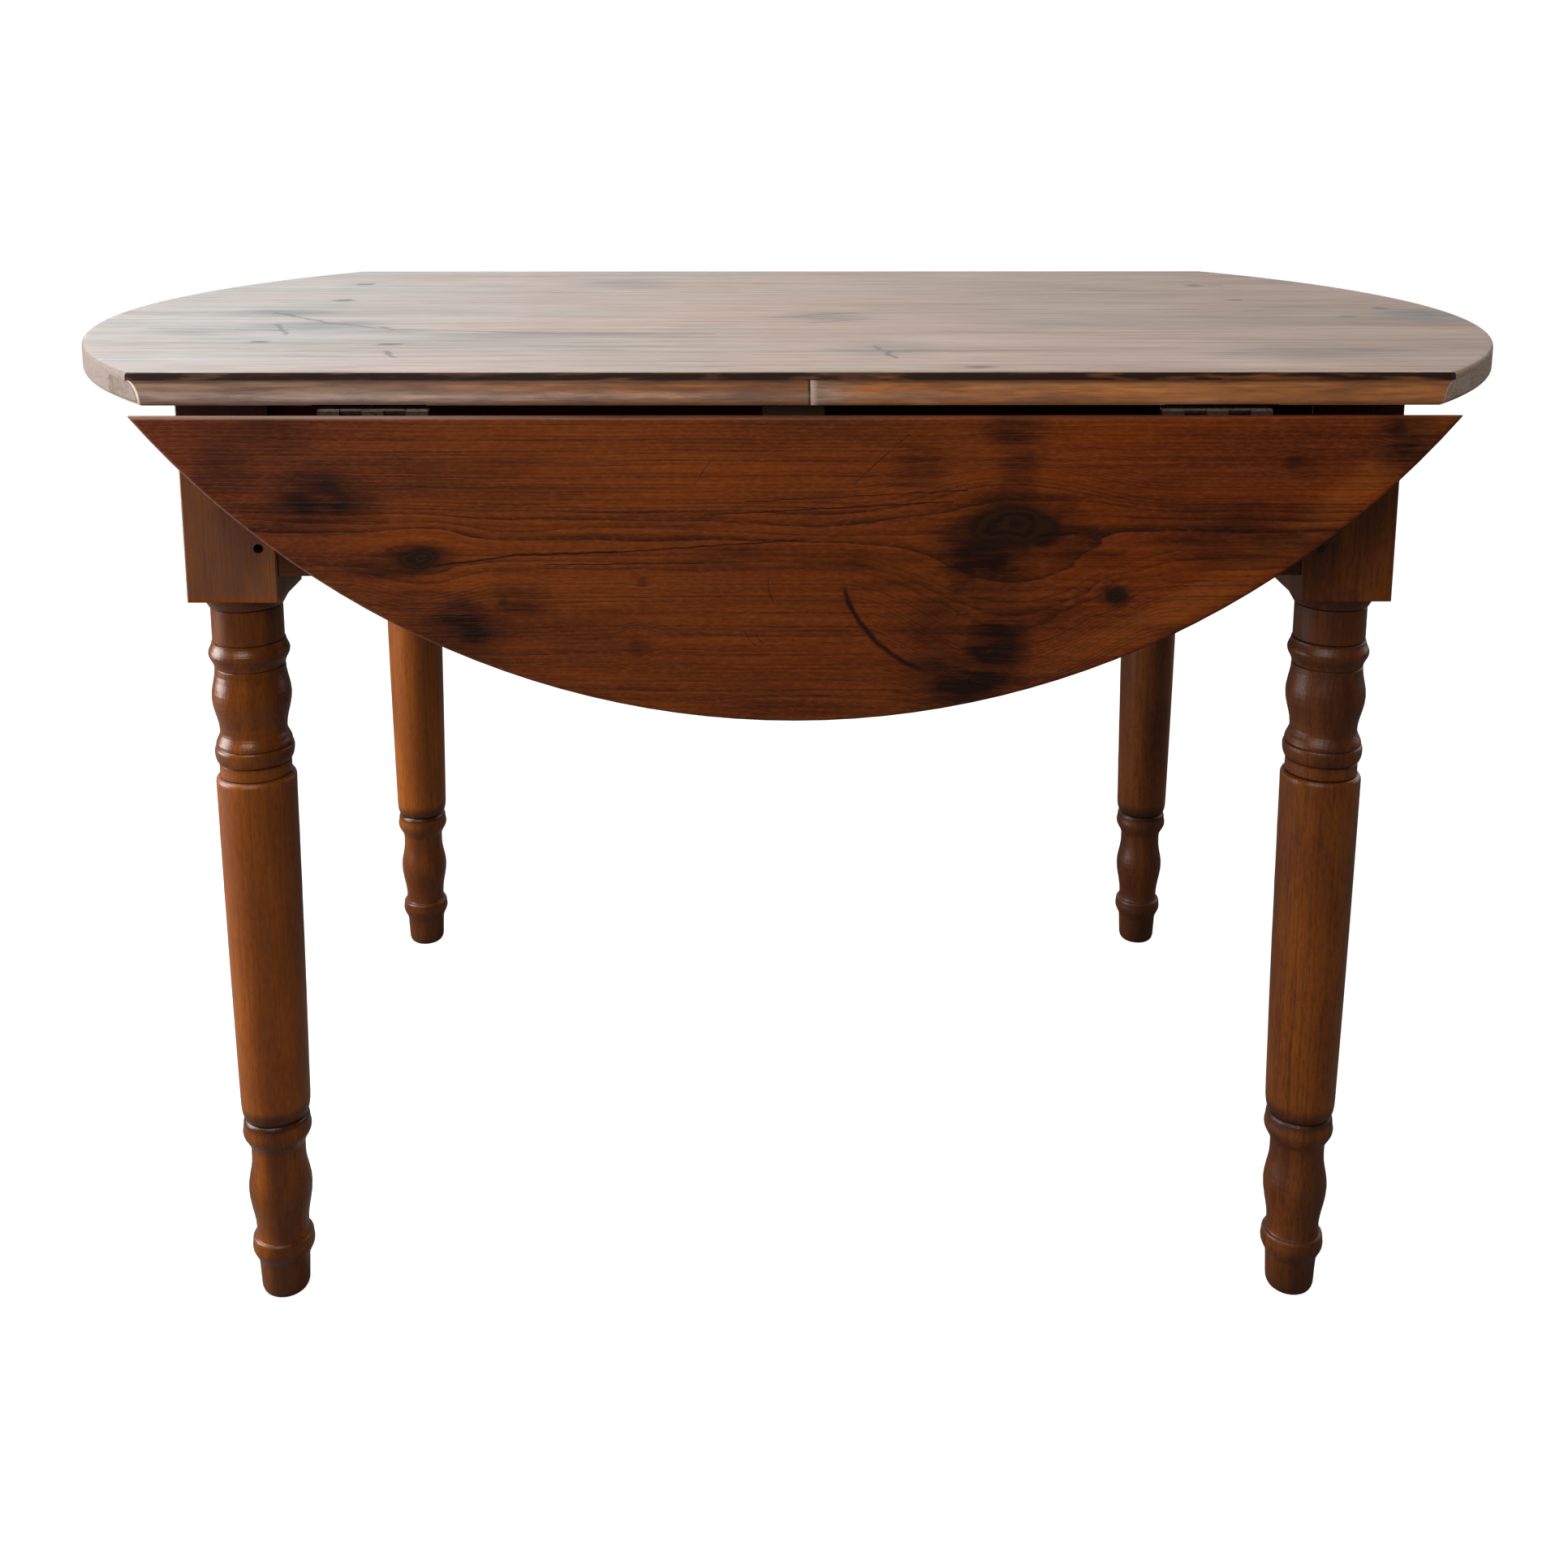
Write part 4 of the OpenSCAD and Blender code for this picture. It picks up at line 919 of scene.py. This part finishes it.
def old_steel(name, clean, rusty, knuckles=False):
    """Browned mild steel with specks of rust. Hinges get a painted highlight on their knuckles."""
    material, tree = new_material(name)
    point = add(tree, "TexCoord", out="Object")
    # 260 to the metre is a grit of about 4 mm
    grit = add(tree, "TexNoise", {"Vector": point, "Scale": 260.0, "Detail": 5.0, "Roughness": 0.7})
    rust = mask(tree, (grit, 0.5, 0.68))
    base = layered(tree, clean, (rusty, rust))
    if knuckles:
        z = add(tree, "SeparateXYZ", {0: point}, out="Z")
        low, high = KNUCKLE_HIGHLIGHT_Z
        # Painted highlight: the knuckles' lower front in the joint's gap, painted pale
        rubbed = layered(tree, "#D0B6A8", ("#9A8074", rust))
        base = layered(tree, base, (rubbed, (z, low, low + 0.0003), (z, high, high - 0.0003)))
    bump = add(tree, "Bump", {"Strength": 0.3, "Distance": 0.2 * MM, "Height": grit})
    sockets = {"Base Color": base, "Metallic": 0.4, "Normal": bump}
    sockets["Roughness"] = mask(tree, (rust, 0.0, 1.0, 0.42, 0.75))
    add(tree, "OutputMaterial", {0: add(tree, "BsdfPrincipled", sockets)})
    return material


hinge_steel = old_steel("old_steel_hinges", "#5A4A42", "#382418", knuckles=True)
screw_steel = old_steel("old_steel_screws", "#7C7771", "#4A3526")
print("steels:", hinge_steel.name, screw_steel.name)

# %% [markdown]
# ## Each piece gets its finish
#
# The pieces keep the shapes that they came with. Only what is in their material slots is changed, and
# each group of names is one kind of wood or iron on the real table.

# %% Assign


def dress(names, material):
    """Gives each named node one material."""
    for name in names:
        slots = nodes[name].data.materials
        for index in range(len(slots)):
            slots[index] = material
    print(material.name, "on", len(names))


dress([n for n in nodes if n.startswith("leg_")], leg_pine)
dress(["front_apron", "back_apron"], long_apron_pine)
dress(["left_apron", "right_apron"], short_apron_pine)
dress([n for n in nodes if n.startswith("glue_block") or "loper_keeper" in n], inside_pine)
dress([n for n in nodes if "loper" in n and "keeper" not in n and "screw" not in n], loper_pine)
dress(["drawbore_pegs"], peg_pine)
dress(["top_board_front"], top_front_pine)
dress(["top_board_middle"], top_middle_pine)
dress(["top_board_back"], top_back_pine)
dress(["front_moulding_left"], moulding_left_pine)
dress(["front_moulding_right", "back_moulding"], moulding_right_pine)
dress(["front_leaf"], leaf_front_pine)
dress(["back_leaf"], leaf_back_pine)
dress([n for n in nodes if n.startswith(("hinge_", "leaf_plate"))], hinge_steel)
dress([n for n in nodes if n.endswith("_screws")], screw_steel)

# %% [markdown]
# ## Light and floor
#
# The table stood in a pale room with a tall window at the left. Its light rakes the legs, bright on
# their left and dark on their right, and falls off across the top. A weaker soft light from above the
# camera keeps the leaf readable. It stands high, so that its reflection in the wax goes down to the
# floor and no haze lies on the stain. A faint one at the far right corner lights the sides that the
# photograph doesn't show. At a low angle the top mirrors the pale wall behind it. A sun lamp would
# draw hard shadows, so the lamps are rectangles, about as large as a window.

# %% Lamps


def lamp(name, place, target, size, watts, tone):
    """A soft lamp at place, aimed at target. size is its width and height."""
    data = bpy.data.lights.new(name, "AREA")
    data.shape = "RECTANGLE"
    data.size, data.size_y = size
    data.energy = watts
    data.color = colour(tone)[:3]
    thing = bpy.data.objects.new(name, data)
    thing.location = place
    aim = [t - p for t, p in zip(target, place)]
    flat = math.hypot(aim[0], aim[1])
    thing.rotation_euler = (math.atan2(flat, -aim[2]), 0, math.atan2(-aim[0], aim[1]))
    bpy.context.scene.collection.objects.link(thing)
    print(name, "at", place, watts, "W")


lamp("window", (-2.1, -0.25, 1.3), (0, 0, 0.9), size=(1.1, 2.1), watts=102, tone="#FFFDFB")
lamp("high_fill", (-0.8, -2.4, 2.4), (0, 0, 0.5), size=(1.6, 1.6), watts=54, tone="#FFFAF4")
lamp("far_side_fill", (2.8, 1.4, 1.5), (0, 0, 0.5), size=(2.2, 2.2), watts=24, tone="#FFFAF4")

# %% [markdown]
# The world is the room. To the camera it is white, and so it is to a ray that has gone through
# something clear. As light it is an even, weak glow. Gloss sees more: the wall behind the table is
# pale, and the side where the photographer stood is dark, so that the stained wood in front keeps its
# depth and the steel has something to show.

# %% The room
WHITE = "#FFFFFF"
world = bpy.data.worlds.new("pale_room")
bpy.context.scene.world = world
world.use_nodes = True
sky = world.node_tree
sky.nodes.clear()
way = add(sky, "SeparateXYZ", {0: add(sky, "TexCoord")}).node.outputs
mirrored = mask(sky, (way["Y"], 0.1, 0.9, 0.05, 0.92, SOFT), (way["X"], -0.5, 0.5, 1.0, 0.55, SOFT))
rays = add(sky, "LightPath").node.outputs
plain = add(sky, "Background", {0: WHITE, 1: 0.32})
glossy = add(sky, "Background", {0: WHITE, 1: mirrored})
seen = add(sky, "Background", {0: WHITE, 1: 1.0})
room = add(sky, "MixShader", {0: rays["Is Glossy Ray"], 1: plain, 2: glossy})
clear = joined(sky, "MAXIMUM", [rays["Is Camera Ray"], rays["Is Transmission Ray"]])
add(sky, "OutputWorld", {0: add(sky, "MixShader", {0: clear, 1: room, 2: seen})})
print("room:", world.name, "made of", len(sky.nodes), "nodes")

# %% [markdown]
# The floor is pale and matt. To the camera it shines a little of its own, just enough to meet the
# white of the room at the horizon, and the matt part keeps the soft shadow under the table. To all
# other rays it is a plain grey floor, which keeps the undersides from glowing.

# %% The floor
FLOOR_HALF = 20.0
floor_mesh = bpy.data.meshes.new("floor")
corners = [(x * FLOOR_HALF, y * FLOOR_HALF, 0) for x, y in ((-1, -1), (1, -1), (1, 1), (-1, 1))]
floor_mesh.from_pydata(corners, [], [(0, 1, 2, 3)])
floor = bpy.data.objects.new("floor", floor_mesh)
bpy.context.scene.collection.objects.link(floor)
floor_white, tree = new_material("white_floor")
matt = add(tree, "BsdfDiffuse", {0: "#6E6A66"})
catch = add(tree, "BsdfDiffuse", {0: "#9A9A9A"})
shine = add(tree, "Emission", {0: WHITE, 1: 0.9})
lit = add(tree, "AddShader", {0: catch, 1: shine})
rays = add(tree, "LightPath").node.outputs
clear = joined(tree, "MAXIMUM", [rays["Is Camera Ray"], rays["Is Transmission Ray"]])
add(tree, "OutputMaterial", {0: add(tree, "MixShader", {0: clear, 1: matt, 2: lit})})
floor_mesh.materials.append(floor_white)
print("floor:", 2 * FLOOR_HALF, "m square,", floor_white.name)
